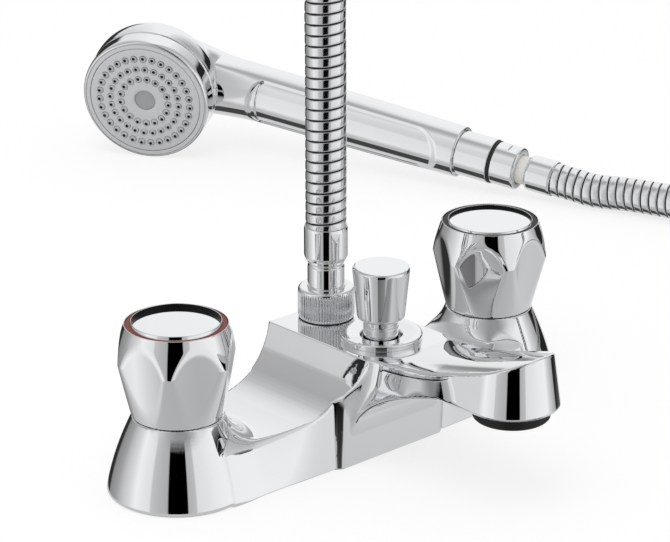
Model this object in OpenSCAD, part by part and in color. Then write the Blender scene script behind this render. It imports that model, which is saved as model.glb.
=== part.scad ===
// Deck-mounted bath shower mixer with two screw-down handles, a lift diverter,
// a ribbed metal hose and a hand shower. Millimetres, +Z up.
// The origin is on the deck, midway between the two inlets. The spout points to -Y,
// the hot side is -X and the cold side is +X.

/* [Deck and pillars] */
// Distance between the two inlet centres
inlet_spacing = 180; // [170:1:190]
// Radius of a pillar at the deck
pillar_base_r = 30; // [28:0.5:32]
// Radius of a pillar under its handle
pillar_top_r = 20.6; // [19.6:0.2:22]
// Height of a pillar above the deck
pillar_h = 33; // [31:0.5:36]
// How far the pillar's side swells past a straight taper
pillar_swell = 1; // [0:0.2:3]
// Radius of the rounded foot of a pillar
foot_round = 2.5; // [1:0.5:4]

/* [Bridge and block] */
// Distance from the inlet line to the front of an arm at its pillar
arm_front_outer = 25.4; // [24:0.2:28]
// Distance from the inlet line to the front of an arm at the block
arm_front_inner = 30.3; // [28:0.1:31.5]
// Distance from the inlet line to the back of the arms and the block
bridge_back = 20.5; // [18:0.5:24]
// Lowest height of the saddle on top of an arm
saddle_z = 22.4; // [21:0.2:25]
// Height of the flat top plate
plate_z = 49.6; // [47:0.2:53]
// Half width of the flat top plate
plate_half_w = 22; // [20:0.5:24]
// Half width of the block at the deck
block_half_w = 31.5; // [29:0.5:34]
// Distance from the inlet line to the front face of the block
block_front = 32.4; // [32:0.2:35]

/* [Spout] */
// Distance from the inlet line to the centre of the outlet
spout_reach = 101; // [90:1:115]
// Radius of the nose at its lower edge
nose_r = 20; // [18:0.5:22]
// Inward lean of the nose wall from its lower edge to its upper edge
nose_draft = 3.5; // [2:0.5:4]
// Height of the lower edge of the nose
nose_z = 43; // [41:0.5:45]
// Height of the upper edge at the tip of the nose
tip_z = 68.5; // [64:0.5:72]
// Radius of the waterway in the spout
waterway_r = 3.2; // [2:0.2:3.4]

/* [Inlet tails] */
// Outer radius of an inlet tail
tail_r = 13.22; // [12:0.01:13.4]
// Bore radius of an inlet tail
tail_bore_r = 9; // [7:0.5:10]
// Length of a tail below the deck
tail_drop = 54; // [46:1:70]
// Thickness of deck that the back nuts clamp
deck_t = 12; // [6:1:16]
// Distance across the flats of a back nut
back_nut_af = 36; // [34:1:38]
// Height of a back nut
back_nut_h = 8; // [6:0.5:10]
// Thickness of a deck washer
deck_washer_t = 2; // [1.5:0.5:3]

/* [Handles] */
// Radius of a handle at its rim
knob_rim_r = 21.4; // [20:0.2:22.6]
// Radius of a handle at its corners, at its widest place
knob_mid_r = 25.2; // [24:0.2:27]
// Radius of a handle at its lower edge
knob_foot_r = 18.4; // [17.6:0.2:19.4]
// Height of a handle
knob_h = 39.4; // [37:0.1:42]
// Height of the widest place above the lower edge of the handle
knob_mid_h = 24.2; // [22:0.1:26]
// Distance from a handle's axis to the middle of a flat, at the widest place
flat_apothem = 20.5; // [19.8:0.1:21.2]
// Radius of the hollow of a flat
flat_hollow_r = 62; // [50:1:200]
// Lean of the flats, inward towards the lower edge, in degrees
flat_lean = 5.1; // [3:0.1:6]
// Turn of the hot handle's corners in the closed position
hot_turn = 41.5; // [0:0.5:59]
// Turn of the cold handle's corners in the closed position
cold_turn = 5.6; // [0:0.5:59]
// Rise of a jumper over its whole travel
jumper_lift = 5; // [3:0.5:5]
// Radius of the cap in the top of a handle
cap_r = 18.3; // [17:0.1:18.6]

/* [Diverter] */
// Distance from the inlet line to the diverter, towards the spout
diverter_y = 25; // [24:0.5:26]
// Radius of the diverter's flange
flange_r = 17.4; // [15:0.2:18.4]
// Thickness of the diverter's flange
flange_t = 2.6; // [2:0.2:4]
// Radius of the diverter's knob at its top
lift_top_r = 12; // [10:0.2:13]
// Radius of the diverter's knob at its lower edge
lift_foot_r = 10.1; // [9:0.1:11]
// Height of the diverter's knob
lift_h = 22.9; // [18:0.1:26]
// Radius of the neck under the diverter's knob
lift_neck_r = 7.4; // [6:0.1:8]
// Travel of the diverter
lift_travel = 9; // [8.9:0.1:9.1]

/* [Shower outlet and hose] */
// Distance from the inlet line to the shower outlet, away from the spout
outlet_y = 8.6; // [7:0.1:8.6]
// Radius of the hose nut
hose_nut_r = 12; // [11.6:0.1:12.2]
// Height of the hose nut
hose_nut_h = 13.5; // [12:0.5:14.5]
// Radius of the outlet thread
outlet_thread_r = 10.4; // [10:0.01:10.5]
// Radius of the neck of the hose end
hose_neck_r = 7.9; // [7:0.1:8.2]
// Radius of a ferrule
ferrule_r = 9.35; // [9:0.05:9.6]
// Outer radius of the hose
hose_r = 8.65; // [8:0.05:8.7]
// Bore radius of the hose
hose_bore_r = 5.5; // [4.5:0.1:6]
// Depth of the groove between two ribs of the hose
rib_depth = 0.7; // [0.3:0.1:1]
// Number of ribs on the hose
rib_count = 198; // [60:1:200]
// Number of knurls around the hose nut
knurl_count = 60; // [36:12:72]

/* [Hand shower] */
// Outer radius of the head
head_r = 34.7; // [33:0.1:36]
// Width of the bezel around the spray plate
bezel_w = 4.3; // [3.8:0.1:5]
// Depth of the head behind its rim
head_depth = 33; // [31:0.5:35]
// Radius of the handle next to the head
grip_top_r = 15.5; // [14:0.1:17]
// Radius of the handle at its lower end
grip_end_r = 13.5; // [12.6:0.1:14]
// Distance along the handle's axis from the head's centre to the handle's end
grip_end = 179; // [175:1:190]
// Radius of the sleeve at the end of the handle
sleeve_r = 11.8; // [11.4:0.1:12.4]
// Radius of the swivel nut
swivel_nut_r = 11.2; // [11:0.1:11.7]
// Radius of a spray nozzle
nozzle_r = 1.35; // [0.8:0.05:1.5]

/* [Hidden] */
$fn = 64;

// Clearance of pieces that are screwed or pressed together
fit = 0.05;
// Gap between pieces that move past each other
free_gap = 0.3;
// Radial clearance of a shaft in its bore
run_gap = 0.06;
// Overlap of a cut past the face that it opens
cut = 1;
// Thickness of a flat gasket or washer
gasket_t = 2;

half_spacing = inlet_spacing / 2;

// Bridge: the flank falls from the plate, then the saddle dips and climbs onto the pillar
flank_run = 26;
flank_bow = 4.5;
flank_bow_rise = 5;
flank_foot_rise = 2;
saddle_dip = 0.4;
climb_run = 16;
climb_foot_rise = 0.7;
climb_bow = 6;
climb_bow_rise = 1.6;
climb_drop = 4;
arm_overrun = 2;
arm_bow = 0.72;

// Spout: its top rises behind the diverter's flange, its underside sweeps up from the block
root_z = 14;
under_bow = 4;
under_bow_drop = 9;
under_run = 22;
rise_bow = 12;
nose_over = 4;
tip_over = 1.6;
cone_below = 31;
root_widen = 1;

// Levels under the deck
deck_washer_z = -deck_t - deck_washer_t;
back_nut_z = deck_washer_z - back_nut_h;

// Heights inside a pillar, from the tail's socket up to the headwork
tail_in = 9;
tail_socket_z = tail_in;
chamber_floor_z = 12;
seat_lip_h = 1;
seat_z = chamber_floor_z + seat_lip_h;
seat_r = 6.2;
seat_lip_r = 8;
chamber_r = 11.2;
passage_r = 4.5;
passage_y = -8;
passage_z = 14.5;
gasket_inset = 7.5;
gasket_r = pillar_base_r - gasket_inset;
relief_h = 1;
relief_depth = 0.6;

// Headwork: bonnet, jumper and spindle
bonnet_washer_t = 0.8;
bonnet_seat_z = pillar_h + bonnet_washer_t;
bonnet_flange_t = 2.2;
bonnet_flange_r = 14.5;
bonnet_hex_af = 22;
bonnet_hex_h = 7;
bonnet_neck_h = 2;
bonnet_top_z = bonnet_seat_z + bonnet_flange_t + bonnet_hex_h + bonnet_neck_h;
bonnet_neck_r = 8;
guide_r = 6.9;
spindle_r = 4.5;
collar_r = guide_r - run_gap;
collar_t = 2;
seal_zone = 8;
seal_first = 2.2;
seal_step = 3;
collar_top_z = bonnet_top_z - seal_zone;
tap_washer_t = 3;
tap_washer_r = 8.5;
jumper_plate_t = 1.8;
jumper_z = seat_z + free_gap + tap_washer_t;
jumper_stem_r = guide_r - run_gap;
jumper_top_z = collar_top_z - collar_t - jumper_lift - free_gap;
jumper_bore_r = 4.3;
jumper_high_z = jumper_z + jumper_plate_t + jumper_lift;
bonnet_foot_z = jumper_high_z + free_gap;
spindle_end_gap = 1;
spindle_foot_z = jumper_high_z + spindle_end_gap;
circlip_t = 0.9;
circlip_groove = 0.6;
circlip_reach = 1.8;
circlip_slot = 2.4;
circlip_land = 0.4;
circlip_z = bonnet_top_z + free_gap;
spline_r = 4;

// Handle: lower edge, web, hub and the pocket for the ring and the cap
knob_gap = 0.8;
knob_z = pillar_h + knob_gap;
knob_rim_z = knob_z + knob_h;
knob_mid_z = knob_z + knob_mid_h;
knob_wall = 2.4;
knob_bore_r = knob_foot_r - knob_wall;
rim_lip = 1.4;
rim_edge = 0.6;
foot_band = 1;
barrel_bow = [1, 7];
index_t = 2.5;
pocket_z = knob_rim_z - index_t;
web_t = 3;
cap_hollow = 5.5;
web_top_z = pocket_z - cap_hollow;
hub_r = 7.5;
hub_gap = 1;
hub_z = circlip_z + circlip_t + hub_gap;
spindle_top_z = web_top_z - web_t - spindle_end_gap;
screw_r = 2.4;
screw_grip = 8;
screw_head_r = 4.4;
screw_head_h = 2.8;
screw_slot_len = 6;
screw_slot_w = 1;
screw_slot_floor = 1.2;

// Cap of a handle: its seat in the pocket, its skirt and its bevelled edge
cap_seat_w = 1.7;
cap_skirt_t = 1.75;
cap_skirt_h = 2;
cap_bevel_w = 0.8;
cap_bevel_h = 0.6;
cap_proud = 0.2;

// Diverter: chamber, ports, piston and bonnet
div_chamber_r = 9;
div_feed_r = 5.6;
piston_z = 27;
piston_h = 7;
piston_gap = 0.12;
piston_rest = 1;
div_floor_z = piston_z - piston_rest;
feed_floor_z = passage_z - passage_r - cut;
plug_r = 11.4;
stop_gap = 0.5;
plug_z = piston_z + piston_h + lift_travel + stop_gap;
shower_port_z = piston_z + piston_h / 2;
spout_port_z = shower_port_z + lift_travel;
port_r = 3;
stem_r = 3.2;
stem_tail = 0.6;
stem_in_knob = 8;
hole_gap = 1.9;
hole_r = lift_neck_r + hole_gap;
plug_floor_t = 2.4;
hole_floor_z = plug_z + plug_floor_t;
neck_gap = 1;
neck_foot_z = hole_floor_z + neck_gap;
neck_bare = 6.2;
lift_z = plate_z + flange_t + neck_bare;
flange_bevel = 0.8;
groove_depth = 0.3;
groove_low = 3.6;
groove_high = 2.8;
groove_slant = 0.2;
lift_foot_in = 1.6;
lift_foot_h = 1.8;
lift_edge_in = 1.4;
lift_edge_h = 1.2;
seal_r = 0.9;
seal_mid_r = spindle_r - seal_r / 2 + run_gap;
piston_seal_inset = 1.8;
piston_port_r = 1.3;
piston_port_at = 5.6;

// Outlet, nut and hose end, each resting on the one below
nipple_in = 8.5;
nipple_thread_r = 8.15;
nipple_bore_r = 4.8;
nut_z = plate_z + free_gap;
nut_top_z = nut_z + hose_nut_h;
nut_lip = 1.8;
neck_flange_t = 1.4;
neck_flange_z = nut_top_z - nut_lip - neck_flange_t;
hose_washer_z = neck_flange_z - gasket_t;
neck_h = 12.3;
ferrule_h = 14.8;
ferrule_z = nut_top_z + neck_h;
hose_start_z = ferrule_z + ferrule_h;
crimp_in = 4.5;
spigot_wall = 0.5;
spigot_r = hose_bore_r + spigot_wall;
washer_gap = 0.2;
washer_r = outlet_thread_r - washer_gap;
knurl_w = 0.7;
knurl_foot = 0.8;
knurl_head = 1;
ferrule_lip = 0.4;
ferrule_foot_h = 1.4;

// Aerator under the nose
aerator_r = 15.3;
aerator_drop = 4.4;
aerator_thread_r = 12.1;
aerator_in = 9;
aerator_bore_r = 10.4;
aerator_washer_t = 1.5;
aerator_top_z = nose_z + aerator_in + aerator_washer_t;
aerator_bevel = 0.8;
aerator_floor_t = 1;
aerator_lip = 1;
aerator_washer_bore_r = 8.2;
aerator_z = nose_z - aerator_drop;
mesh_holes = 6;
mesh_rings = 2;
mesh_pitch = 3.2;
mesh_hole_r = 1.1;

// Place of the hand shower: it lies on the deck, on the edge of its head
head_x = 173;
head_y = 336.7;
head_lift = 0.15;
head_roll = 10.1;
head_pitch = 4.9;
head_yaw = -55.8;
grip_tilt = 14.3;
grip_back = 37.2;
head_z = head_r * sqrt(1 - pow(sin(head_roll) * cos(head_pitch), 2)) + head_lift;

// Stations along the handle's axis, from the head's centre to the hose
grip_start = 46;
sleeve_in = 14;
sleeve_len = 18.5;
gasket_s = grip_end + sleeve_len;
swivel_gasket_t = 1.8;
gasket_shy = 0.4;
swivel_nut_s = gasket_s + swivel_gasket_t;
swivel_nut_len = 13.2;
swivel_lip = 3.4;
spanner_depth = 0.7;
spanner_from = 6.5;
spanner_len = 5;
insert_flange_t = 1.5;
insert_flange_s = swivel_nut_s + swivel_nut_len - swivel_lip - free_gap - insert_flange_t;
swivel_washer_s = insert_flange_s - free_gap - gasket_t;
insert_r = 7.4;
insert_bare = 5.2;
hand_ferrule_s = swivel_nut_s + swivel_nut_len + insert_bare;
hose_end_s = hand_ferrule_s + ferrule_h;
sleeve_plug_r = 9;
sleeve_bore_r = 5.5;
grip_wall = 3;
grip_waist = 40;
grip_swell = 0.5;
grip_waist_r = grip_end_r + grip_swell;
grip_edge = 0.6;
grip_edge_len = 1;
bore_start = grip_start - head_r / 2;

// Neck between the handle and the head
neck_inset = 0.35;
neck_on_grip = 3;
neck_run = 8;
neck_off = 4;
neck_back_in = 1;
neck_front_in = 8;
neck_depth = 12;

// Head of the hand shower, measured along the face's outward normal
plate_r = head_r - bezel_w;
rim_back = -9;
rim_seam = rim_back + 1.5;
rim_bevel = 1;
dome_bow = [0.6, 4];
bezel_front = 4.4;
bezel_wall_z = -1;
bezel_bow = [0.2, 0.6];
plate_lip = 0.4;
plate_ledge = 4;
plate_front = 4.6;
plate_t = 2.4;
mat_t = 1.6;
// Inset from the plate's edge and number of nozzles of each ring
spray_rings = [[5.6, 31], [11.8, 24], [17.4, 17]];
nozzle_proud = 0.7;
disc_r = 5.6;
disc_t = 1.2;
// Length of a cut that passes right through the head
through = 2 * head_r;

// Route of the hose's centreline, chosen by hand: up from the mixer, over in an arch,
// down to the deck and along it to the hand shower
hose_route = [
    [0, outlet_y, hose_start_z],
    [0, outlet_y, 110],
    [0, outlet_y, 130],
    [0, outlet_y, 160],
    [0, outlet_y, 190],
    [2, 7, 229],
    [14, -4, 273],
    [38, -24, 313],
    [70, -52, 334],
    [103, -81, 327],
    [128, -102, 293],
    [141, -113, 246],
    [148, -119, 197],
    [154, -124, 148],
    [162, -131, 102],
    [175, -142, 60],
    [193, -158, 28],
    [219, -178, 12],
    [248, -196, 9],
    [280, -204, 9],
    [316, -197, 9],
    [346, -175, 9],
    [364, -143, 9],
    [368, -108, 9],
    [362, -75, 9],
    [350, -41, 9],
    [336, -3, 9],
    [321, 38, 9],
    [308, 74, 9],
    [298, 101, 9.2]
];

// Curve from a to c that leaves and arrives towards b, in n steps
function bezier(a, b, c, n) = [for (i = [0:n]) let (t = i / n)
    (1 - t) * (1 - t) * a + 2 * t * (1 - t) * b + t * t * c];
function unit(v) = v / norm(v);

// Turns a point by the three angles, about X first, then Y, then Z
function turned(p, a) = let (
    x1 = p[0], y1 = p[1] * cos(a[0]) - p[2] * sin(a[0]), z1 = p[1] * sin(a[0]) + p[2] * cos(a[0]),
    x2 = x1 * cos(a[1]) + z1 * sin(a[1]), z2 = -x1 * sin(a[1]) + z1 * cos(a[1])
) [x2 * cos(a[2]) - y1 * sin(a[2]), x2 * sin(a[2]) + y1 * cos(a[2]), z2];

// Point on the axis of the hand shower's handle
function grip_point(s) = [head_x, head_y, head_z]
    + turned([s * cos(grip_tilt), grip_back - s * sin(grip_tilt), 0], [head_roll, head_pitch, head_yaw]);

module side(s) translate([s * half_spacing, 0, 0]) children();
module both_sides() for (s = [-1, 1]) side(s) children();
module ring(outer, inner, h) difference() {
    cylinder(r = outer, h = h);
    translate([0, 0, -cut]) cylinder(r = inner, h = h + 2 * cut);
}
module torus(mid_r, r) rotate_extrude() translate([mid_r, 0]) circle(r = r, $fn = 24);
module hexagon(af, h) cylinder(r = af / sqrt(3), h = h, $fn = 6);

// The face frame: +Z leaves the spray face, +X runs towards the handle
module head_frame() translate([head_x, head_y, head_z])
    rotate([head_roll, head_pitch, head_yaw]) children();
module face_frame() head_frame() rotate([90, 0, 0]) children();
// The grip frame: +Z runs along the handle's axis, from the head to the hose
module grip_frame() head_frame() translate([0, grip_back, 0])
    rotate([0, 0, -grip_tilt]) rotate([0, 90, 0]) children();
module along_grip(s) grip_frame() translate([0, 0, s]) children();

// Mixer body: two pillars, the saddle-shaped bridge, the block and the spout

module pillar_shape() {
    mid_z = pillar_h / 2;
    mid_r = (pillar_base_r + pillar_top_r) / 2 + 2 * pillar_swell;
    wall = bezier([pillar_base_r, foot_round], [mid_r, mid_z], [pillar_top_r, pillar_h], 12);
    foot_mid = [pillar_base_r - foot_round, foot_round];
    foot = [for (a = [-90:15:-15]) foot_mid + foot_round * [cos(a), sin(a)]];
    rotate_extrude($fn = 96) polygon(concat([[0, 0]], foot, wall, [[0, pillar_h]]));
}

// Half of the bridge's outline seen from the front: plate edge, flank, saddle and climb to the pillar
function bridge_top() = let (
    flank_end = [plate_half_w + flank_run, saddle_z + flank_foot_rise],
    saddle_end = [half_spacing - climb_run, saddle_z + climb_foot_rise],
    climb_end = [half_spacing + arm_overrun, pillar_h - climb_drop],
    flank_mid = [plate_half_w + flank_bow, saddle_z + flank_bow_rise],
    saddle_mid = [(flank_end[0] + saddle_end[0]) / 2, saddle_z - saddle_dip],
    climb_mid = [half_spacing - climb_bow, saddle_z + climb_bow_rise],
    flank = bezier([plate_half_w, plate_z], flank_mid, flank_end, 10),
    saddle = bezier(flank_end, saddle_mid, saddle_end, 6),
    climb = bezier(saddle_end, climb_mid, climb_end, 6)
) concat(flank, [for (i = [1:6]) saddle[i]], [for (i = [1:6]) climb[i]]);

module mirrored_outline(half, base) polygon(concat(
    [for (p = half) p],
    [[half[len(half) - 1][0], base], [-half[len(half) - 1][0], base]],
    [for (i = [len(half) - 1:-1:0]) [-half[i][0], half[i][1]]]
));

module front_outline(depth_front, depth_back) translate([0, depth_back, 0]) rotate([90, 0, 0])
    linear_extrude(depth_front + depth_back) mirrored_outline(bridge_top(), 0);

// Half of the arms' outline seen from above: the front from the block to the pillar, then the back
function arm_plan() = let (
    inner = [block_half_w - cut, -arm_front_inner],
    outer = [half_spacing + arm_overrun, -arm_front_outer]
) concat(bezier(inner, [half_spacing * arm_bow, -arm_front_inner], outer, 8), [[outer[0], bridge_back]]);

module bridge_plan() linear_extrude(plate_z + cut) polygon(concat(
    arm_plan(),
    [for (i = [len(arm_plan()) - 1:-1:0]) [-arm_plan()[i][0], arm_plan()[i][1]]]
));

module block_plan() translate([-block_half_w, -block_front, 0])
    cube([2 * block_half_w, block_front + bridge_back, plate_z]);

module spout_side() {
    root = diverter_y;
    rise = root + flange_r + cut;
    front = -spout_reach - nose_r - nose_over;
    steps = 10;
    top = bezier([-rise, plate_z], [-rise - rise_bow, plate_z], [front, tip_z + tip_over], steps + 4);
    under_mid = [-block_front - under_bow, nose_z - under_bow_drop];
    under = bezier([-block_front + cut, root_z], under_mid, [-spout_reach + under_run, nose_z], steps);
    rotate([90, 0, 90]) translate([0, 0, -block_half_w]) linear_extrude(2 * block_half_w) polygon(concat(
        [[-root, root_z], [-root, plate_z]],
        top,
        [[front, nose_z]],
        [for (i = [steps:-1:0]) under[i]]
    ));
}

module nose_cone(widen) {
    slope = nose_draft / (tip_z - nose_z);
    low = nose_z - cone_below;
    high = tip_z + nose_over;
    low_r = nose_r + slope * (nose_z - low) + widen;
    high_r = nose_r - slope * (high - nose_z) + widen;
    translate([0, 0, low]) cylinder(r1 = low_r, r2 = high_r, h = high - low, $fn = 48);
}

module spout_shape() intersection() {
    hull() {
        translate([0, -spout_reach, 0]) nose_cone(0);
        translate([0, -diverter_y, 0]) nose_cone(root_widen);
    }
    spout_side();
}

module body_cavities() {
    both_sides() {
        translate([0, 0, -cut]) cylinder(r = gasket_r, h = gasket_t + cut);
        cylinder(r = tail_r + fit, h = tail_socket_z);
        cylinder(r = seat_r, h = seat_z + cut);
        difference() {
            translate([0, 0, chamber_floor_z]) cylinder(r = chamber_r, h = pillar_h);
            translate([0, 0, chamber_floor_z - cut]) ring(seat_lip_r, seat_r, seat_lip_h + cut);
        }
    }
    translate([-half_spacing, passage_y, passage_z]) rotate([0, 90, 0])
        cylinder(r = passage_r, h = inlet_spacing);
    translate([0, passage_y, passage_z]) rotate([90, 0, 0])
        cylinder(r = passage_r, h = diverter_y + passage_y);
    translate([0, -diverter_y, 0]) {
        translate([0, 0, feed_floor_z]) cylinder(r = div_feed_r, h = div_floor_z - feed_floor_z + cut);
        translate([0, 0, div_floor_z]) cylinder(r = div_chamber_r, h = plate_z);
        translate([0, 0, plug_z - fit]) cylinder(r = plug_r + fit, h = plate_z);
    }
    translate([0, -diverter_y, shower_port_z]) rotate([-90, 0, 0])
        cylinder(r = port_r, h = diverter_y + outlet_y);
    translate([0, outlet_y, shower_port_z - port_r]) cylinder(r = nipple_bore_r, h = plate_z);
    translate([0, outlet_y, plate_z - nipple_in]) cylinder(r = nipple_thread_r + fit, h = plate_z);
    spout_waterway();
    translate([0, -spout_reach, nose_z - cut])
        cylinder(r = aerator_thread_r + fit, h = aerator_in + aerator_washer_t + cut);
}

module spout_waterway() {
    from = [0, -diverter_y - div_chamber_r + cut, spout_port_z];
    to = [0, -spout_reach, aerator_top_z - waterway_r / 2];
    run = to - from;
    climb = atan2(run[2], -run[1]);
    translate(from) rotate([90 - climb, 0, 0]) cylinder(r = waterway_r, h = norm(run) + waterway_r);
}

module mixer_body() color("gainsboro") difference() {
    union() {
        both_sides() pillar_shape();
        intersection() {
            front_outline(block_front, bridge_back);
            union() {
                bridge_plan();
                block_plan();
            }
        }
        spout_shape();
    }
    body_cavities();
}

// Inlet tails and what clamps them to the deck

// A relief groove under the back nut ends the length that a supply nut goes on
module tail() color("goldenrod") difference() {
    translate([0, 0, -tail_drop]) ring(tail_r, tail_bore_r, tail_drop + tail_in);
    translate([0, 0, back_nut_z - relief_h]) ring(tail_r + cut, tail_r - relief_depth, relief_h);
}
module hot_tail() side(-1) tail();
module cold_tail() side(1) tail();
module back_nuts() color("goldenrod") both_sides() translate([0, 0, back_nut_z]) difference() {
    hexagon(back_nut_af, back_nut_h);
    translate([0, 0, -cut]) cylinder(r = tail_r + fit, h = back_nut_h + 2 * cut);
}
module deck_washers() color("dimgray") both_sides() translate([0, 0, deck_washer_z])
    ring(back_nut_af / 2, tail_r + fit, deck_washer_t);
module base_gaskets() color("dimgray") both_sides() ring(gasket_r - fit, tail_r + fit, gasket_t - fit);

// Headwork: bonnet, spindle, jumper and seals

module bonnet() color("goldenrod") difference() {
    union() {
        translate([0, 0, bonnet_foot_z]) cylinder(r = chamber_r - fit, h = bonnet_seat_z - bonnet_foot_z);
        translate([0, 0, bonnet_seat_z]) cylinder(r = bonnet_flange_r, h = bonnet_flange_t);
        translate([0, 0, bonnet_seat_z + bonnet_flange_t]) hexagon(bonnet_hex_af, bonnet_hex_h);
        translate([0, 0, bonnet_seat_z]) cylinder(r = bonnet_neck_r, h = bonnet_top_z - bonnet_seat_z);
    }
    translate([0, 0, bonnet_foot_z - cut])
        cylinder(r = guide_r, h = collar_top_z + run_gap - bonnet_foot_z + cut);
    cylinder(r = spindle_r + run_gap, h = bonnet_top_z + cut);
}
module hot_bonnet() side(-1) bonnet();
module cold_bonnet() side(1) bonnet();
module bonnet_washers() color("firebrick") both_sides() translate([0, 0, pillar_h])
    ring(bonnet_flange_r, chamber_r, bonnet_washer_t);

module seal_places() for (k = [0, 1]) translate([0, 0, collar_top_z + seal_first + k * seal_step]) children();
module spindle() color("goldenrod") difference() {
    union() {
        translate([0, 0, spindle_foot_z])
            cylinder(r = jumper_bore_r - run_gap, h = collar_top_z - spindle_foot_z);
        translate([0, 0, collar_top_z - collar_t]) cylinder(r = collar_r, h = collar_t);
        translate([0, 0, collar_top_z - cut])
            cylinder(r = spindle_r, h = circlip_z + circlip_t + circlip_land - collar_top_z + cut);
        translate([0, 0, circlip_z]) cylinder(r = spline_r, h = spindle_top_z - circlip_z, $fn = 24);
    }
    seal_places() torus(seal_mid_r, seal_r);
    translate([0, 0, circlip_z]) ring(spindle_r + cut, spindle_r - circlip_groove, circlip_t);
    translate([0, 0, spindle_top_z - screw_grip - cut]) cylinder(r = screw_r + fit, h = screw_grip + 2 * cut);
}
module hot_spindle() side(-1) spindle();
module cold_spindle() side(1) spindle();

module circlip() color("dimgray") translate([0, 0, circlip_z]) difference() {
    ring(spindle_r + circlip_reach, spindle_r - circlip_groove + fit, circlip_t - fit);
    translate([0, -circlip_slot / 2, -cut]) cube([2 * spindle_r, circlip_slot, circlip_t + 2 * cut]);
}
module hot_circlip() side(-1) circlip();
module cold_circlip() side(1) circlip();

module spindle_seals() color("black") seal_places() difference() {
    torus(seal_mid_r, seal_r - fit - run_gap);
    difference() {
        translate([0, 0, -seal_r]) cylinder(r = 2 * spindle_r, h = 2 * seal_r);
        translate([0, 0, -2 * seal_r]) cylinder(r = spindle_r + run_gap / 2, h = 4 * seal_r);
    }
}
module hot_spindle_seals() side(-1) spindle_seals();
module cold_spindle_seals() side(1) spindle_seals();

module jumper() color("goldenrod") difference() {
    union() {
        translate([0, 0, jumper_z]) cylinder(r = tap_washer_r, h = jumper_plate_t);
        translate([0, 0, jumper_z]) cylinder(r = jumper_stem_r, h = jumper_top_z - jumper_z);
        translate([0, 0, jumper_z - tap_washer_t]) cylinder(r = screw_r, h = tap_washer_t + cut);
    }
    translate([0, 0, jumper_z + jumper_plate_t]) cylinder(r = jumper_bore_r, h = jumper_top_z);
}
module hot_jumper() side(-1) jumper();
module cold_jumper() side(1) jumper();

module tap_washer() color("black") translate([0, 0, jumper_z - tap_washer_t])
    ring(tap_washer_r, screw_r + fit, tap_washer_t);
module hot_tap_washer() side(-1) tap_washer();
module cold_tap_washer() side(1) tap_washer();

// Handles: a barrel of revolution cut by six leaning flats

module barrel() {
    steps = 6;
    widest = [knob_mid_r, knob_mid_z];
    bow = [knob_mid_r - barrel_bow[0], knob_mid_z + barrel_bow[1]];
    rotate_extrude($fn = 96) polygon(concat(
        [[0, knob_z], [knob_foot_r, knob_z], [knob_foot_r, knob_z + foot_band]],
        bezier(widest, bow, [knob_rim_r, knob_rim_z - rim_edge], steps),
        [[knob_rim_r - rim_edge, knob_rim_z], [0, knob_rim_z]]
    ));
}
module hollow_flats() for (a = [30:60:330]) rotate([0, 0, a]) translate([flat_apothem, 0, knob_mid_z])
    rotate([0, flat_lean, 0]) translate([flat_hollow_r, 0, -knob_h])
        cylinder(r = flat_hollow_r, h = 2 * knob_h, $fn = 160);

module knob(turn) color("gainsboro") difference() {
    union() {
        difference() {
            rotate([0, 0, turn]) difference() {
                barrel();
                hollow_flats();
            }
            translate([0, 0, knob_z - cut])
                cylinder(r = knob_bore_r, h = web_top_z - web_t - knob_z + cut);
        }
        translate([0, 0, hub_z]) cylinder(r = hub_r, h = web_top_z - hub_z);
    }
    translate([0, 0, hub_z - cut]) cylinder(r = spline_r + fit, h = spindle_top_z - hub_z + cut);
    cylinder(r = screw_r + fit, h = knob_rim_z);
    translate([0, 0, web_top_z]) cylinder(r = cap_r - cap_seat_w, h = knob_h);
    translate([0, 0, pocket_z]) cylinder(r = knob_rim_r - rim_lip, h = knob_h);
}
module hot_knob() side(-1) knob(hot_turn);
module cold_knob() side(1) knob(cold_turn);

module index_ring(c) color(c) translate([0, 0, pocket_z])
    ring(knob_rim_r - rim_lip - fit, cap_r + fit, index_t);
module hot_index_ring() side(-1) index_ring("firebrick");
module cold_index_ring() side(1) index_ring("midnightblue");

module index_cap() color("gainsboro") {
    wall_h = index_t + cap_proud - cap_bevel_h;
    skirt_r = cap_r - cap_seat_w - fit;
    translate([0, 0, pocket_z]) cylinder(r = cap_r, h = wall_h);
    translate([0, 0, pocket_z + wall_h]) cylinder(r1 = cap_r, r2 = cap_r - cap_bevel_w, h = cap_bevel_h);
    translate([0, 0, pocket_z - cap_skirt_h]) ring(skirt_r, skirt_r - cap_skirt_t, cap_skirt_h + fit);
}
module hot_index_cap() side(-1) index_cap();
module cold_index_cap() side(1) index_cap();

module knob_screw() color("silver") difference() {
    union() {
        translate([0, 0, spindle_top_z - screw_grip])
            cylinder(r = screw_r, h = web_top_z - spindle_top_z + screw_grip);
        translate([0, 0, web_top_z]) cylinder(r = screw_head_r, h = screw_head_h);
    }
    for (a = [0, 90]) rotate([0, 0, a])
        translate([-screw_slot_len / 2, -screw_slot_w / 2, web_top_z + screw_slot_floor])
            cube([screw_slot_len, screw_slot_w, screw_head_h]);
}
module hot_knob_screw() side(-1) knob_screw();
module cold_knob_screw() side(1) knob_screw();

// Lift diverter

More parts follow.
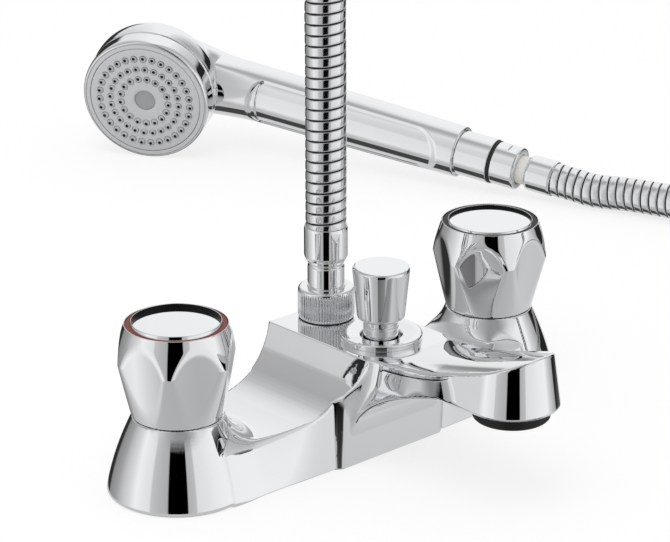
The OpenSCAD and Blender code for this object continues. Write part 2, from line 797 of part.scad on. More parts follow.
module at_diverter() translate([0, -diverter_y, 0]) children();
module diverter_bonnet() color("gainsboro") at_diverter() difference() {
    union() {
        translate([0, 0, plug_z]) cylinder(r = plug_r, h = plate_z - plug_z);
        translate([0, 0, plate_z]) cylinder(r = flange_r, h = flange_t - flange_bevel);
        translate([0, 0, plate_z + flange_t - flange_bevel])
            cylinder(r1 = flange_r, r2 = flange_r - flange_bevel, h = flange_bevel);
    }
    translate([0, 0, hole_floor_z]) cylinder(r = hole_r, h = plate_z);
    cylinder(r = stem_r + run_gap, h = plate_z);
}
module diverter_knob() color("gainsboro") at_diverter() difference() {
    groove_r = lift_neck_r - groove_depth;
    lift_top_z = lift_z + lift_h;
    rotate_extrude() polygon([
        [0, neck_foot_z],
        [lift_neck_r, neck_foot_z],
        [lift_neck_r, lift_z - groove_low],
        [groove_r, lift_z - groove_low + groove_slant],
        [groove_r, lift_z - groove_high - groove_slant],
        [lift_neck_r, lift_z - groove_high],
        [lift_neck_r, lift_z],
        [lift_foot_r - lift_foot_in, lift_z],
        [lift_foot_r, lift_z + lift_foot_h],
        [lift_top_r, lift_top_z - lift_edge_h],
        [lift_top_r - lift_edge_in / 2, lift_top_z - lift_edge_h / 4],
        [lift_top_r - lift_edge_in, lift_top_z],
        [0, lift_top_z]
    ]);
    translate([0, 0, neck_foot_z - cut])
        cylinder(r = stem_r + fit, h = lift_z + stem_in_knob - neck_foot_z + cut);
}
module diverter_stem() color("goldenrod") at_diverter() translate([0, 0, piston_z - stem_tail])
    cylinder(r = stem_r, h = lift_z + stem_in_knob - piston_z + stem_tail);
module piston_seal_places() for (z = [piston_seal_inset, piston_h - piston_seal_inset])
    translate([0, 0, piston_z + z]) children();
module diverter_piston() color("whitesmoke") at_diverter() difference() {
    translate([0, 0, piston_z]) cylinder(r = div_chamber_r - piston_gap, h = piston_h);
    piston_seal_places() torus(div_chamber_r - piston_gap, seal_r);
    translate([0, 0, piston_z - cut]) cylinder(r = stem_r + fit, h = piston_h + 2 * cut);
    for (a = [0:60:300]) rotate([0, 0, a]) translate([piston_port_at, 0, piston_z - cut])
        cylinder(r = piston_port_r, h = piston_h + 2 * cut);
}
module diverter_seals() color("black") at_diverter() piston_seal_places() intersection() {
    torus(div_chamber_r - piston_gap, seal_r - fit);
    translate([0, 0, -2 * seal_r]) cylinder(r = div_chamber_r - run_gap, h = 4 * seal_r);
}

// Aerator under the spout's nose

module at_outlet() translate([0, -spout_reach, 0]) children();
module aerator_housing() color("black") at_outlet() difference() {
    union() {
        translate([0, 0, aerator_z])
            cylinder(r1 = aerator_r - aerator_bevel, r2 = aerator_r, h = aerator_bevel);
        translate([0, 0, aerator_z + aerator_bevel])
            cylinder(r = aerator_r, h = aerator_drop - aerator_bevel);
        translate([0, 0, nose_z]) cylinder(r = aerator_thread_r, h = aerator_in);
    }
    translate([0, 0, aerator_z + aerator_floor_t])
        cylinder(r = aerator_bore_r, h = aerator_in + aerator_drop);
    translate([0, 0, aerator_z - cut]) cylinder(r = aerator_bore_r - aerator_lip, h = aerator_drop);
}
module mesh_hole() translate([0, 0, -cut])
    cylinder(r = mesh_hole_r, h = aerator_in + aerator_drop + cut, $fn = 16);
module aerator_insert() color("lightgray") at_outlet() translate([0, 0, aerator_z + aerator_floor_t])
    difference() {
        cylinder(r = aerator_bore_r - fit, h = aerator_in + aerator_drop - aerator_floor_t);
        for (k = [1:mesh_rings], i = [1:mesh_holes * k]) rotate([0, 0, 360 * i / (mesh_holes * k)])
            translate([k * mesh_pitch, 0, 0]) mesh_hole();
        mesh_hole();
    }
module aerator_washer() color("black") at_outlet() translate([0, 0, nose_z + aerator_in])
    ring(aerator_thread_r, aerator_washer_bore_r, aerator_washer_t);

// Shower outlet and the mixer end of the hose

module at_shower() translate([0, outlet_y, 0]) children();
module outlet_nipple() color("goldenrod") at_shower() difference() {
    union() {
        translate([0, 0, plate_z - nipple_in]) cylinder(r = nipple_thread_r, h = nipple_in);
        translate([0, 0, plate_z]) cylinder(r = outlet_thread_r, h = hose_washer_z - plate_z);
    }
    translate([0, 0, plate_z - nipple_in - cut]) cylinder(r = nipple_bore_r, h = plate_z);
}
module hose_washer() color("black") at_shower() translate([0, 0, hose_washer_z])
    ring(washer_r, nipple_bore_r, gasket_t);
module hose_nut() color("silver") at_shower() difference() {
    translate([0, 0, nut_z]) cylinder(r = hose_nut_r, h = hose_nut_h);
    translate([0, 0, nut_z - cut]) cylinder(r = outlet_thread_r + fit, h = hose_nut_h - nut_lip + cut);
    translate([0, 0, nut_z]) cylinder(r = hose_neck_r + fit, h = hose_nut_h + cut);
    for (k = [1:knurl_count]) rotate([0, 0, 360 * k / knurl_count])
        translate([hose_nut_r, 0, nut_z + knurl_foot]) rotate([0, 0, 45])
            translate([-knurl_w / 2, -knurl_w / 2, 0])
                cube([knurl_w, knurl_w, hose_nut_h - knurl_foot - knurl_head]);
}
module hose_neck() color("silver") at_shower() difference() {
    union() {
        translate([0, 0, neck_flange_z]) cylinder(r = washer_r, h = neck_flange_t);
        translate([0, 0, neck_flange_z]) cylinder(r = hose_neck_r, h = ferrule_z + crimp_in - neck_flange_z);
        translate([0, 0, ferrule_z]) cylinder(r = spigot_r, h = ferrule_h);
    }
    translate([0, 0, neck_flange_z - cut]) cylinder(r = nipple_bore_r, h = hose_start_z);
}
module ferrule(stub_r) color("gainsboro") difference() {
    rotate_extrude() polygon([
        [0, 0],
        [stub_r + ferrule_lip, 0],
        [ferrule_r, ferrule_foot_h],
        [ferrule_r, ferrule_h - ferrule_lip],
        [ferrule_r - ferrule_lip, ferrule_h],
        [0, ferrule_h]
    ]);
    translate([0, 0, -cut]) cylinder(r = stub_r + fit, h = crimp_in + cut);
    cylinder(r = spigot_r + fit, h = ferrule_h + cut);
}
module mixer_ferrule() at_shower() translate([0, 0, ferrule_z]) ferrule(hose_neck_r);

// Hose: a ribbed tube with its bore, swept along the route

hose_end = grip_point(hose_end_s);
hose_end_dir = unit(grip_point(hose_end_s) - grip_point(hose_end_s - 10));
hose_lead = 11;
hose_points = concat(hose_route, [for (k = [2:-1:0]) hose_end + hose_end_dir * k * hose_lead]);
hose_spans = len(hose_points) - 1;

// Smooth curve through the route's points
function route_at(u) = let (
    i = min(floor(u), hose_spans - 1), t = u - i,
    p0 = i > 0 ? hose_points[i - 1] : 2 * hose_points[0] - hose_points[1],
    p1 = hose_points[i], p2 = hose_points[i + 1],
    p3 = i + 2 <= hose_spans ? hose_points[i + 2] : 2 * p2 - p1,
    m1 = (p2 - p0) / (norm(p2 - p1) + norm(p1 - p0)) * norm(p2 - p1),
    m2 = (p3 - p1) / (norm(p3 - p2) + norm(p2 - p1)) * norm(p2 - p1)
) (2 * t * t * t - 3 * t * t + 1) * p1 + (t * t * t - 2 * t * t + t) * m1
    + (3 * t * t - 2 * t * t * t) * p2 + (t * t * t - t * t) * m2;

rib_share = 0.7;
fine_steps = 40;
fine = [for (k = [0:hose_spans * fine_steps]) route_at(k / fine_steps)];
function sums(v) = [for (i = 0, s = 0; i < len(v);
    s = s + (i + 1 < len(v) ? norm(v[i + 1] - v[i]) : 0), i = i + 1) s];
fine_len = sums(fine);
hose_len = fine_len[len(fine_len) - 1];

// Point on the route at a length from its start
function place(d, lo, hi) = hi - lo <= 1
    ? fine[lo] + (fine[hi] - fine[lo]) * (d - fine_len[lo]) / (fine_len[hi] - fine_len[lo])
    : let (mid = floor((lo + hi) / 2)) (fine_len[mid] <= d ? place(d, mid, hi) : place(d, lo, mid));
function hose_at(d) = place(min(max(d, 0), hose_len - 0.001), 0, len(fine) - 1);
function hose_dir(d) = d < 1
    ? [0, 0, 1]
    : d > hose_len - 1 ? -hose_end_dir : unit(hose_at(d + 1) - hose_at(d - 1));

// A frame that is carried along the hose without twist
function carried(prev, dir) = unit(prev - (prev * dir) * dir);
function frames(ds) = [for (i = 0, x = [1, 0, 0]; i < len(ds);
    i = i + 1, x = i < len(ds) ? carried(x, hose_dir(ds[i])) : x) carried(x, hose_dir(ds[i]))];
function rings(ds, rs, sides) = let (xs = frames(ds)) [for (i = [0:len(ds) - 1]) let (
    c = hose_at(ds[i]), x = xs[i], y = cross(hose_dir(ds[i]), x)
) for (k = [0:sides - 1]) c + rs[i] * (cos(360 * k / sides) * x + sin(360 * k / sides) * y)];

// Triangles of one tube wall; the outward sense turns with flip
function wall(first, count, sides, flip) = [for (i = [0:count - 2], k = [0:sides - 1]) let (
    a = first + i * sides + k, b = first + i * sides + (k + 1) % sides, c = a + sides, d = b + sides
) each (flip ? [[a, b, d], [a, d, c]] : [[a, d, b], [a, c, d]])];
function end_face(outer, inner, sides, flip) = [for (k = [0:sides - 1]) let (
    a = outer + k, b = outer + (k + 1) % sides, c = inner + k, d = inner + (k + 1) % sides
) each (flip ? [[a, d, b], [a, c, d]] : [[a, b, d], [a, d, c]])];

module shower_hose() color("silver") {
    sides = 8;
    straight = 2 * hose_r;
    pitch = (hose_len - 2 * straight) / rib_count;
    rib_ds = [for (i = [0:rib_count - 1], k = [-0.5, 0.5]) straight + (i + 0.5 + k * rib_share) * pitch];
    groove_rs = [for (i = [0:rib_count - 1]) each [hose_r - rib_depth, hose_r]];
    outer_ds = concat([0], rib_ds, [hose_len]);
    outer_rs = concat([hose_r], groove_rs, [hose_r]);
    bore_count = round(rib_count / 2);
    bore_ds = [for (i = [0:bore_count]) hose_len * i / bore_count];
    bore_rs = [for (d = bore_ds) hose_bore_r];
    outer = rings(outer_ds, outer_rs, sides);
    bore = rings(bore_ds, bore_rs, sides);
    n_out = len(outer_ds);
    n_in = len(bore_ds);
    first_in = n_out * sides;
    polyhedron(points = concat(outer, bore), faces = concat(
        wall(0, n_out, sides, false),
        wall(first_in, n_in, sides, true),
        end_face(0, first_in, sides, false),
        end_face((n_out - 1) * sides, first_in + (n_in - 1) * sides, sides, true)
    ), convexity = 20);
}

// Hand shower end of the hose

module handset_ferrule() along_grip(hand_ferrule_s) ferrule(insert_r);
module swivel_insert() color("ivory") along_grip(insert_flange_s) difference() {
    union() {
        cylinder(r = outlet_thread_r - free_gap, h = insert_flange_t);
        cylinder(r = insert_r, h = hand_ferrule_s + crimp_in - insert_flange_s);
        translate([0, 0, hand_ferrule_s - insert_flange_s]) cylinder(r = spigot_r, h = ferrule_h);
    }
    translate([0, 0, -cut]) cylinder(r = nipple_bore_r, h = hose_end_s);
}
module swivel_nut() color("gainsboro") along_grip(swivel_nut_s) difference() {
    cylinder(r = swivel_nut_r, h = swivel_nut_len);
    translate([0, 0, -cut]) cylinder(r = outlet_thread_r + fit, h = swivel_nut_len - swivel_lip + cut);
    cylinder(r = insert_r + free_gap, h = swivel_nut_len + cut);
    for (a = [0, 180]) rotate([0, 0, a])
        translate([swivel_nut_r - spanner_depth, -swivel_nut_r, swivel_nut_len - spanner_from])
            cube([swivel_nut_r, 2 * swivel_nut_r, spanner_len]);
}
module swivel_washer() color("black") along_grip(swivel_washer_s) ring(washer_r, nipple_bore_r, gasket_t);
module swivel_gasket() color("black") along_grip(gasket_s)
    ring(sleeve_r - gasket_shy, outlet_thread_r + fit, swivel_gasket_t);
module handset_sleeve() color("gainsboro") along_grip(grip_end) difference() {
    union() {
        cylinder(r = sleeve_r, h = sleeve_len);
        translate([0, 0, -sleeve_in]) cylinder(r = sleeve_plug_r, h = sleeve_in + cut);
        cylinder(r = outlet_thread_r, h = swivel_washer_s - grip_end);
    }
    translate([0, 0, -sleeve_in - cut]) cylinder(r = sleeve_bore_r, h = hose_end_s);
}

// Hand shower: hollow handle and head, bezel, spray plate and nozzle mat

module grip_shape() grip_frame() rotate_extrude() polygon([
    [0, grip_start],
    [grip_top_r, grip_start],
    [grip_waist_r, grip_end - grip_waist],
    [grip_end_r, grip_end - grip_edge_len],
    [grip_end_r - grip_edge, grip_end],
    [0, grip_end]
]);
module head_shape() face_frame() rotate_extrude($fn = 96) polygon(concat(
    [[0, rim_seam], [head_r - rim_bevel, rim_seam]],
    bezier([head_r, rim_back], [head_r + dome_bow[0], -head_depth + dome_bow[1]],
        [grip_top_r, -head_depth], 10),
    [[0, -head_depth]]
));
module neck_shape() hull() {
    along_grip(grip_start + neck_on_grip) cylinder(r = grip_top_r - neck_inset, h = neck_run, $fn = 32);
    face_frame() translate([neck_off, 0, -head_depth + 2 * neck_inset])
        cylinder(r1 = grip_top_r - neck_back_in, r2 = head_r - neck_front_in, h = neck_depth, $fn = 32);
}
module handset_body() color("gainsboro") difference() {
    union() {
        grip_shape();
        head_shape();
        neck_shape();
    }
    along_grip(grip_end - sleeve_in) cylinder(r = sleeve_plug_r + fit, h = sleeve_in + cut);
    along_grip(bore_start) cylinder(r = grip_end_r - grip_wall, h = grip_end - sleeve_in - bore_start + fit);
    face_frame() translate([0, 0, -head_depth + 2 * grip_wall])
        cylinder(r = plate_r - 2 * grip_wall, h = head_depth);
}
module handset_bezel() color("silver") face_frame() difference() {
    rotate_extrude($fn = 96) polygon(concat(
        [[0, rim_seam], [head_r - rim_bevel, rim_seam], [head_r, rim_seam + rim_bevel]],
        bezier([head_r, bezel_wall_z], [head_r - bezel_bow[0], bezel_front - bezel_bow[1]],
            [plate_r + plate_lip, bezel_front], 6),
        [[0, bezel_front]]
    ));
    translate([0, 0, rim_back]) cylinder(r = plate_r - plate_ledge, h = through);
    translate([0, 0, bezel_front - plate_t]) cylinder(r = plate_r, h = through);
}
module spray_layout() for (row = spray_rings, k = [0:row[1] - 1])
    rotate([0, 0, 360 * k / row[1]]) translate([plate_r - row[0], 0, 0]) children();
module spray_plate() color("lightgray") face_frame() difference() {
    translate([0, 0, bezel_front - plate_t + fit])
        cylinder(r = plate_r - fit, h = plate_front - bezel_front + plate_t - fit);
    spray_layout() translate([0, 0, -head_r]) cylinder(r = nozzle_r + fit, h = through, $fn = 16);
    translate([0, 0, bezel_front - disc_t]) cylinder(r = disc_r + fit, h = through);
}
module nozzle_mat() color("darkgray") face_frame() {
    translate([0, 0, bezel_front - plate_t - mat_t]) cylinder(r = plate_r - plate_ledge - fit, h = mat_t);
    spray_layout() translate([0, 0, bezel_front - plate_t - fit])
        cylinder(r = nozzle_r, h = plate_t + nozzle_proud, $fn = 16);
}
module spray_disc() color("gray") face_frame() translate([0, 0, bezel_front - disc_t])
    cylinder(r = disc_r, h = disc_t);

mixer_body();
hot_tail();
cold_tail();
back_nuts();
deck_washers();
base_gaskets();
hot_bonnet();
cold_bonnet();
bonnet_washers();
hot_spindle();
cold_spindle();
hot_circlip();
cold_circlip();
hot_spindle_seals();
cold_spindle_seals();
hot_jumper();
cold_jumper();
hot_tap_washer();
cold_tap_washer();
hot_knob();
cold_knob();
hot_index_ring();
cold_index_ring();
hot_index_cap();
cold_index_cap();
hot_knob_screw();
cold_knob_screw();
diverter_bonnet();
diverter_knob();
diverter_stem();
diverter_piston();
diverter_seals();
aerator_housing();
aerator_insert();
aerator_washer();
outlet_nipple();
hose_washer();
hose_nut();
hose_neck();
mixer_ferrule();
shower_hose();
handset_ferrule();
swivel_insert();
swivel_nut();
swivel_washer();
swivel_gasket();
handset_sleeve();
handset_body();
handset_bezel();
spray_plate();
nozzle_mat();
spray_disc();
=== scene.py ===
import itertools
import math

import bpy
import numpy as np
from bpy.props import FloatProperty, FloatVectorProperty, IntProperty, PointerProperty
from mathutils import Matrix, Vector


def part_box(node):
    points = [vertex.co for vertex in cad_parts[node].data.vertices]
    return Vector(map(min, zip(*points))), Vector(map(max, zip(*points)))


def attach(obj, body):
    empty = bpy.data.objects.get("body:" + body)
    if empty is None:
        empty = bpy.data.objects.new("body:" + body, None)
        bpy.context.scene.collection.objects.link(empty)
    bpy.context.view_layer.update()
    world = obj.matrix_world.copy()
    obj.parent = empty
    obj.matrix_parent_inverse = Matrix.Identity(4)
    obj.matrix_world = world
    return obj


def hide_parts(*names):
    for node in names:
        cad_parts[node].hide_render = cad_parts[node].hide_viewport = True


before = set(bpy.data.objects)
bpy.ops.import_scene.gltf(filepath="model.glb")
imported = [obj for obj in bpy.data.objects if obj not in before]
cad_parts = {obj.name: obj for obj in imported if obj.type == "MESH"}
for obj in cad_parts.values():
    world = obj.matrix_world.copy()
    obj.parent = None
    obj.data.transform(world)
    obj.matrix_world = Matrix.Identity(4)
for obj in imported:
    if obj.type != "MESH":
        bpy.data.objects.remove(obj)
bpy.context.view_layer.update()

bl_info = {
    "name": "Bath shower mixer",
    "version": (1, 0, 0),
    "blender": (4, 5, 0),
    "location": "View3D > Sidebar > Mixer",
    "description": "Dresses the packed bath shower mixer with its finished surfaces and studio",
    "category": "Object",
}

# Shapes are worked out in millimetres and put into meshes in metres
MM = 0.001


def box_mm(node):
    """Lowest and highest corner of a CAD node, in millimetres."""
    low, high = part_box(node)
    return np.array(low) / MM, np.array(high) / MM


def centre_mm(node):
    """Middle of a CAD node's box, in millimetres."""
    low, high = box_mm(node)
    return (low + high) / 2


def length(name, description, default):
    """A length property in metres."""
    return FloatProperty(name=name, description=description, default=default, min=0, unit="LENGTH",
                         precision=5)


def angle(name, description, degrees):
    """An angle property, its default given in degrees."""
    return FloatProperty(name=name, description=description, default=math.radians(degrees), unit="ROTATION")


def colour(name, description, default):
    """A linear colour property."""
    return FloatVectorProperty(name=name, description=description, default=default, size=3, min=0, max=1,
                               subtype="COLOR")


def share(name, description, default):
    """A plain number from 0 up."""
    return FloatProperty(name=name, description=description, default=default, min=0)


class CastingSizes(bpy.types.PropertyGroup):
    """Sizes of the chromed casting."""

    pillar_foot: length("Pillar foot", "Radius of a pillar at the deck", 0.030)
    pillar_neck: length("Pillar neck", "Radius of a pillar under its handle", 0.0190)
    pillar_height: length("Pillar height", "Height of a pillar above the deck", 0.0335)
    saddle_height: length("Saddle height", "Lowest height of the saddle on an arm", 0.0224)
    plate_height: length("Plate height", "Height of the flat top plate", 0.0496)
    plate_half: length("Plate half width", "Half width of the flat top plate", 0.022)
    arm_front: length("Arm front", "Distance from the inlet line to the front of an arm", 0.0303)
    bridge_back: length("Bridge back", "Distance from the inlet line to the back", 0.0205)
    block_half: length("Block half width", "Half width of the block", 0.0315)
    corner: length("Corner", "Cut off each front corner of the block", 0.0030)
    block_front: length("Block front", "Distance from the inlet line to the block's front", 0.0328)
    nose_radius: length("Nose radius", "Radius of the spout's nose at its lower edge", 0.020)
    nose_height: length("Nose height", "Height of the nose's lower edge", 0.043)
    tip_height: length("Tip height", "Height of the upper edge at the tip", 0.0685)
    nose_draft: length("Nose draft", "Inward lean of the nose wall over its height", 0.0035)
    grid_step: length("Grid step", "Side of the cubes that the surface is found on", 0.00086)


class HandleSizes(bpy.types.PropertyGroup):
    """Sizes of the two handles."""

    widest: length("Widest radius", "Radius at the corners", 0.0252)
    rim: length("Rim radius", "Radius at the rim", 0.0214)
    foot: length("Foot radius", "Radius at the lower edge", 0.0189)
    flat: length("Flat distance", "Distance from the axis to the middle of a flat", 0.0216)
    hollow: length("Hollow radius", "Radius of the hollow of a flat", 0.055)
    lean: angle("Lean", "Inward lean of the flats towards the lower edge", 6.0)
    hot_lip: length("Hot lip", "Height of the hot cap's lip above its dish", 0.0019)
    cold_lip: length("Cold lip", "Height of the cold cap's lip above its dish", 0.0013)
    hot_turn: angle("Hot turn", "Turn of the hot handle's corners", 41.5)
    cold_turn: angle("Cold turn", "Turn of the cold handle's corners", 5.6)
    edge: length("Edge softness", "Softness of the edges between the flats and the barrel", 0.001)
    sides: IntProperty(name="Sides", description="Steps round a handle", default=480, min=60)


class HoseSizes(bpy.types.PropertyGroup):
    """Sizes of the ribbed hose."""

    outer: length("Outer radius", "Radius over the ribs", 0.00865)
    pitch: length("Pitch", "Length of one turn of the winding", 0.00455)
    depth: length("Groove depth", "Depth of the groove between two ribs", 0.0007)
    sides: IntProperty(name="Sides", description="Steps round the hose", default=28, min=8)


class ShowerSizes(bpy.types.PropertyGroup):
    """Place and sizes of the hand shower."""

    head_place: FloatVectorProperty(name="Head place", description="Centre of the spray face's rim plane",
                                    default=(0.173, 0.3367, 0.034316), size=3, subtype="TRANSLATION")
    head_turn: FloatVectorProperty(name="Head turn", description="Turn of the head about X, then Y, then Z",
                                   default=tuple(math.radians(a) for a in (10.1, 4.9, -55.8)), size=3,
                                   subtype="EULER")
    tilt: angle("Handle tilt", "Tilt of the handle towards the spray side", 14.3)
    set_back: length("Set back", "Distance of the handle's axis behind the face at the head", 0.0372)
    head: length("Head radius", "Outer radius of the head", 0.0347)
    depth: length("Head depth", "Depth of the head behind its rim", 0.033)
    grip_top: length("Handle radius at the head", "Radius of the handle next to the head", 0.0154)
    grip_end: length("Handle radius at the end", "Radius of the handle at its lower end", 0.0135)
    grid_step: length("Grid step", "Side of the cubes that the surface is found on", 0.0006)


class Finishes(bpy.types.PropertyGroup):
    """Colours of the finishes, with painted shade for the hose's grooves and the spray plate's centre."""

    chrome: colour("Chrome", "Polished chrome", (0.86, 0.868, 0.88))
    hose: colour("Hose", "Chromed hose strip", (0.80, 0.81, 0.82))
    # Painted shade: the dark that falls in the groove between two ribs of the hose
    groove: colour("Groove", "Shade in a groove of the hose", (0.05, 0.05, 0.055))
    brass: colour("Brass", "Plain brass of the tails", (0.62, 0.42, 0.16))
    steel: colour("Steel", "Steel of screws and clips", (0.45, 0.45, 0.46))
    rubber: colour("Rubber", "Black rubber", (0.012, 0.012, 0.013))
    fibre: colour("Fibre", "Red fibre of the washers", (0.24, 0.045, 0.03))
    red: colour("Hot ring", "Red plastic of the hot ring", (0.2, 0.024, 0.016))
    dark: colour("Cold ring", "Dark plastic of the cold ring", (0.007, 0.007, 0.008))
    black: colour("Black plastic", "Black plastic of the aerator", (0.008, 0.008, 0.009))
    white: colour("White plastic", "Off-white plastic of the insert", (0.80, 0.79, 0.76))
    grey: colour("Grey plastic", "Light grey plastic of the spray plate", (0.60, 0.61, 0.62))
    # Painted shade: the darker grey stands for the shade in the spray plate's recessed centre
    disc: colour("Disc", "Darker grey of the spray plate's centre", (0.36, 0.37, 0.38))
    soft_grey: colour("Grey rubber", "Grey rubber of the nozzles", (0.48, 0.49, 0.51))


class Studio(bpy.types.PropertyGroup):
    """Camera and light."""

    aim: FloatVectorProperty(name="Aim", description="Point that the camera looks at",
                             default=(0, 0, 0.0731), size=3, subtype="TRANSLATION")
    azimuth: angle("Azimuth", "Turn of the camera round the object", -42.988)
    elevation: angle("Elevation", "Height of the camera above the horizon", 20.597)
    distance: length("Distance", "Distance of the camera from its aim", 1.308484)
    lens: FloatProperty(name="Lens", description="Focal length in millimetres", default=167.28, min=1)
    shift: FloatVectorProperty(name="Shift", description="Shift of the frame", default=(-0.0075, -0.0032),
                               size=2)
    floor: colour("Floor", "Colour of the floor", (0.93, 0.93, 0.93))
    ambient: share("Ambient", "Strength of the even light", 0.78)
    white: share("White", "Share of plain white in the floor that the camera sees", 0.7)
    table: share("Table", "Shade of the table in the polished metal", 0.60)


GROUPS = {
    "mixer_casting": CastingSizes,
    "mixer_handles": HandleSizes,
    "mixer_hose": HoseSizes,
    "mixer_shower": ShowerSizes,
    "mixer_finishes": Finishes,
    "mixer_studio": Studio,
}


# Surfaces


def bezier(a, b, c, count):
    """Quadratic curve (1-t)^2 a + 2t(1-t) b + t^2 c at count + 1 even steps of t."""
    t = np.linspace(0, 1, count + 1)[:, None]
    a, b, c = (np.array(point, float) for point in (a, b, c))
    return (1 - t) ** 2 * a + 2 * t * (1 - t) * b + t ** 2 * c


def smooth(t):
    """The smooth step 3 t^2 - 2 t^3, with t held between 0 and 1."""
    t = np.clip(t, 0, 1)
    return t * t * (3 - 2 * t)


def rounded(points, radius, steps=5, closed=True):
    """The polyline with each corner replaced by a quadratic curve that starts and ends at the
    given distance from it, or at less where the sides are short."""
    p = np.asarray(points, float)
    before, after = np.roll(p, 1, 0) - p, np.roll(p, -1, 0) - p
    back = np.linalg.norm(before, axis=1, keepdims=True)
    on = np.linalg.norm(after, axis=1, keepdims=True)
    radius = np.broadcast_to(np.asarray(radius, float), len(p))[:, None]
    reach = np.minimum(radius, 0.48 * np.minimum(back, on))
    start, end = p + before / back * reach, p + after / on * reach
    t = np.linspace(0, 1, steps + 1)[None, :, None]
    curve = (1 - t) ** 2 * start[:, None] + 2 * t * (1 - t) * p[:, None] + t ** 2 * end[:, None]
    if closed:
        return curve.reshape(-1, 2)
    return np.concatenate([p[:1], curve[1:-1].reshape(-1, 2), p[-1:]])


def revolve(profile, sides):
    """A profile of (radius, height) turned about Z: row i, column j is (r cos a, r sin a, z)."""
    turn = np.arange(sides) * (2 * np.pi / sides)
    r, z = profile[:, :1], profile[:, 1:]
    return np.stack([r * np.cos(turn), r * np.sin(turn), z + 0 * turn], -1)


def grid_quads(rows, columns, closed_rows=False, closed_columns=True):
    """Corner numbers of the quads of a grid of points, wrapped where it is closed."""
    i = np.arange(rows if closed_rows else rows - 1)[:, None]
    j = np.arange(columns if closed_columns else columns - 1)[None, :]
    k, m = (i + 1) % rows, (j + 1) % columns
    return np.stack([i * columns + j, i * columns + m, k * columns + m, k * columns + j], -1).reshape(-1, 4)


def welded(points, quads):
    """Points that share a place become one, and quads that lose a side become triangles.
    Returns the points, the quads, the triangles and the number of each kept point."""
    keys = np.round(points / 1e-4).astype(np.int64)
    _, first, back = np.unique(keys, axis=0, return_index=True, return_inverse=True)
    quads = back.reshape(-1)[quads]
    same = quads == np.roll(quads, -1, 1)
    whole, pinched = quads[same.sum(1) == 0], same.sum(1) == 1
    kept = np.argsort(same[pinched], axis=1, kind="stable")[:, :3]
    triangles = np.take_along_axis(quads[pinched], np.sort(kept, axis=1), 1)
    return points[first], whole, triangles, first


def area_normals(points, quads, triangles):
    """Normal of each point: the sum of the area vectors of its faces, the cross product of the diagonals
    of a quad or of two sides of a triangle, so that flats stay flat beside small roundings."""
    total = np.zeros_like(points)
    for faces, (a, b), (c, d) in ((quads, (0, 2), (1, 3)), (triangles, (0, 1), (0, 2))):
        area = np.cross(points[faces[:, b]] - points[faces[:, a]], points[faces[:, d]] - points[faces[:, c]])
        for corner in faces.T:
            np.add.at(total, corner, area)
    return total / np.maximum(np.linalg.norm(total, axis=1, keepdims=True), 1e-12)


def make_piece(name, points, quads, normals=None, values=None):
    """A smooth mesh object from points in millimetres, quads, and where given a normal and named
    numbers for each point."""
    points, whole, triangles, first = welded(points.reshape(-1, 3), quads)
    mesh = bpy.data.meshes.new(name)
    mesh.from_pydata((points * MM).tolist(), [], whole.tolist() + triangles.tolist())
    mesh.shade_smooth()
    for key, numbers in (values or {}).items():
        kept = np.ascontiguousarray(numbers.reshape(-1)[first], dtype=np.float32)
        mesh.attributes.new(key, "FLOAT", "POINT").data.foreach_set("value", kept)
    if normals is None:
        normals = area_normals(points, whole, triangles)
    else:
        normals = normals.reshape(-1, 3)[first]
    mesh.normals_split_custom_set_from_vertices(normals.tolist())
    piece = bpy.data.objects.new(name, mesh)
    bpy.context.scene.collection.objects.link(piece)
    return piece


def dress(piece, body, slot, *nodes, look=None):
    """The piece gets the finish of its slot, or another look, rides on its body and stands for its CAD
    nodes."""
    piece.data.materials.append(finish(look or slot))
    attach(piece, body)
    if nodes:
        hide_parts(*nodes)


def placed(points, origin, axes):
    """Points of a local frame, moved to an origin along three axes given as columns."""
    return points @ np.asarray(axes).T + np.asarray(origin)


def turned_piece(name, profile, origin, axes=np.eye(3), sides=96, closed=True):
    """A piece of revolution: the profile of (radius, height) turned about the local Z axis. A closed
    profile runs counter-clockwise; an open one starts on the axis."""
    points = placed(revolve(profile, sides), origin, axes)
    return make_piece(name, points, grid_quads(len(profile), sides, closed))


def round_union(a, b, r):
    """Union of two distances with a fillet of radius r in the inner corner."""
    return np.maximum(r, np.minimum(a, b)) - np.hypot(np.maximum(r - a, 0), np.maximum(r - b, 0))


def round_common(a, b, r):
    """Common part of two distances with an edge rounded to radius r."""
    return np.minimum(-r, np.maximum(a, b)) + np.hypot(np.maximum(r + a, 0), np.maximum(r + b, 0))


def outline_distance(r, z, outline):
    """Signed distance in the (r, z) plane to a closed counter-clockwise outline: the least distance
    to its sides, negative where a ray crosses the sides an odd number of times."""
    best = np.full(r.shape, np.inf)
    inside = np.zeros(r.shape, bool)
    for (ar, az), (br, bz) in zip(outline, np.roll(outline, -1, 0)):
        er, ez = br - ar, bz - az
        t = np.clip(((r - ar) * er + (z - az) * ez) / (er * er + ez * ez), 0, 1)
        best = np.minimum(best, (r - ar - t * er) ** 2 + (z - az - t * ez) ** 2)
        crosses = (az <= z) != (bz <= z)
        inside ^= crosses & (r < ar + (z - az) / np.where(crosses, ez, 1) * er)
    return np.where(inside, -1, 1) * np.sqrt(best)


def gradient(distance, p, eps=0.02):
    """Central differences of a distance at the points."""
    steps = np.eye(3) * eps
    return np.stack([(distance(p + s) - distance(p - s)) / (2 * eps) for s in steps], -1)


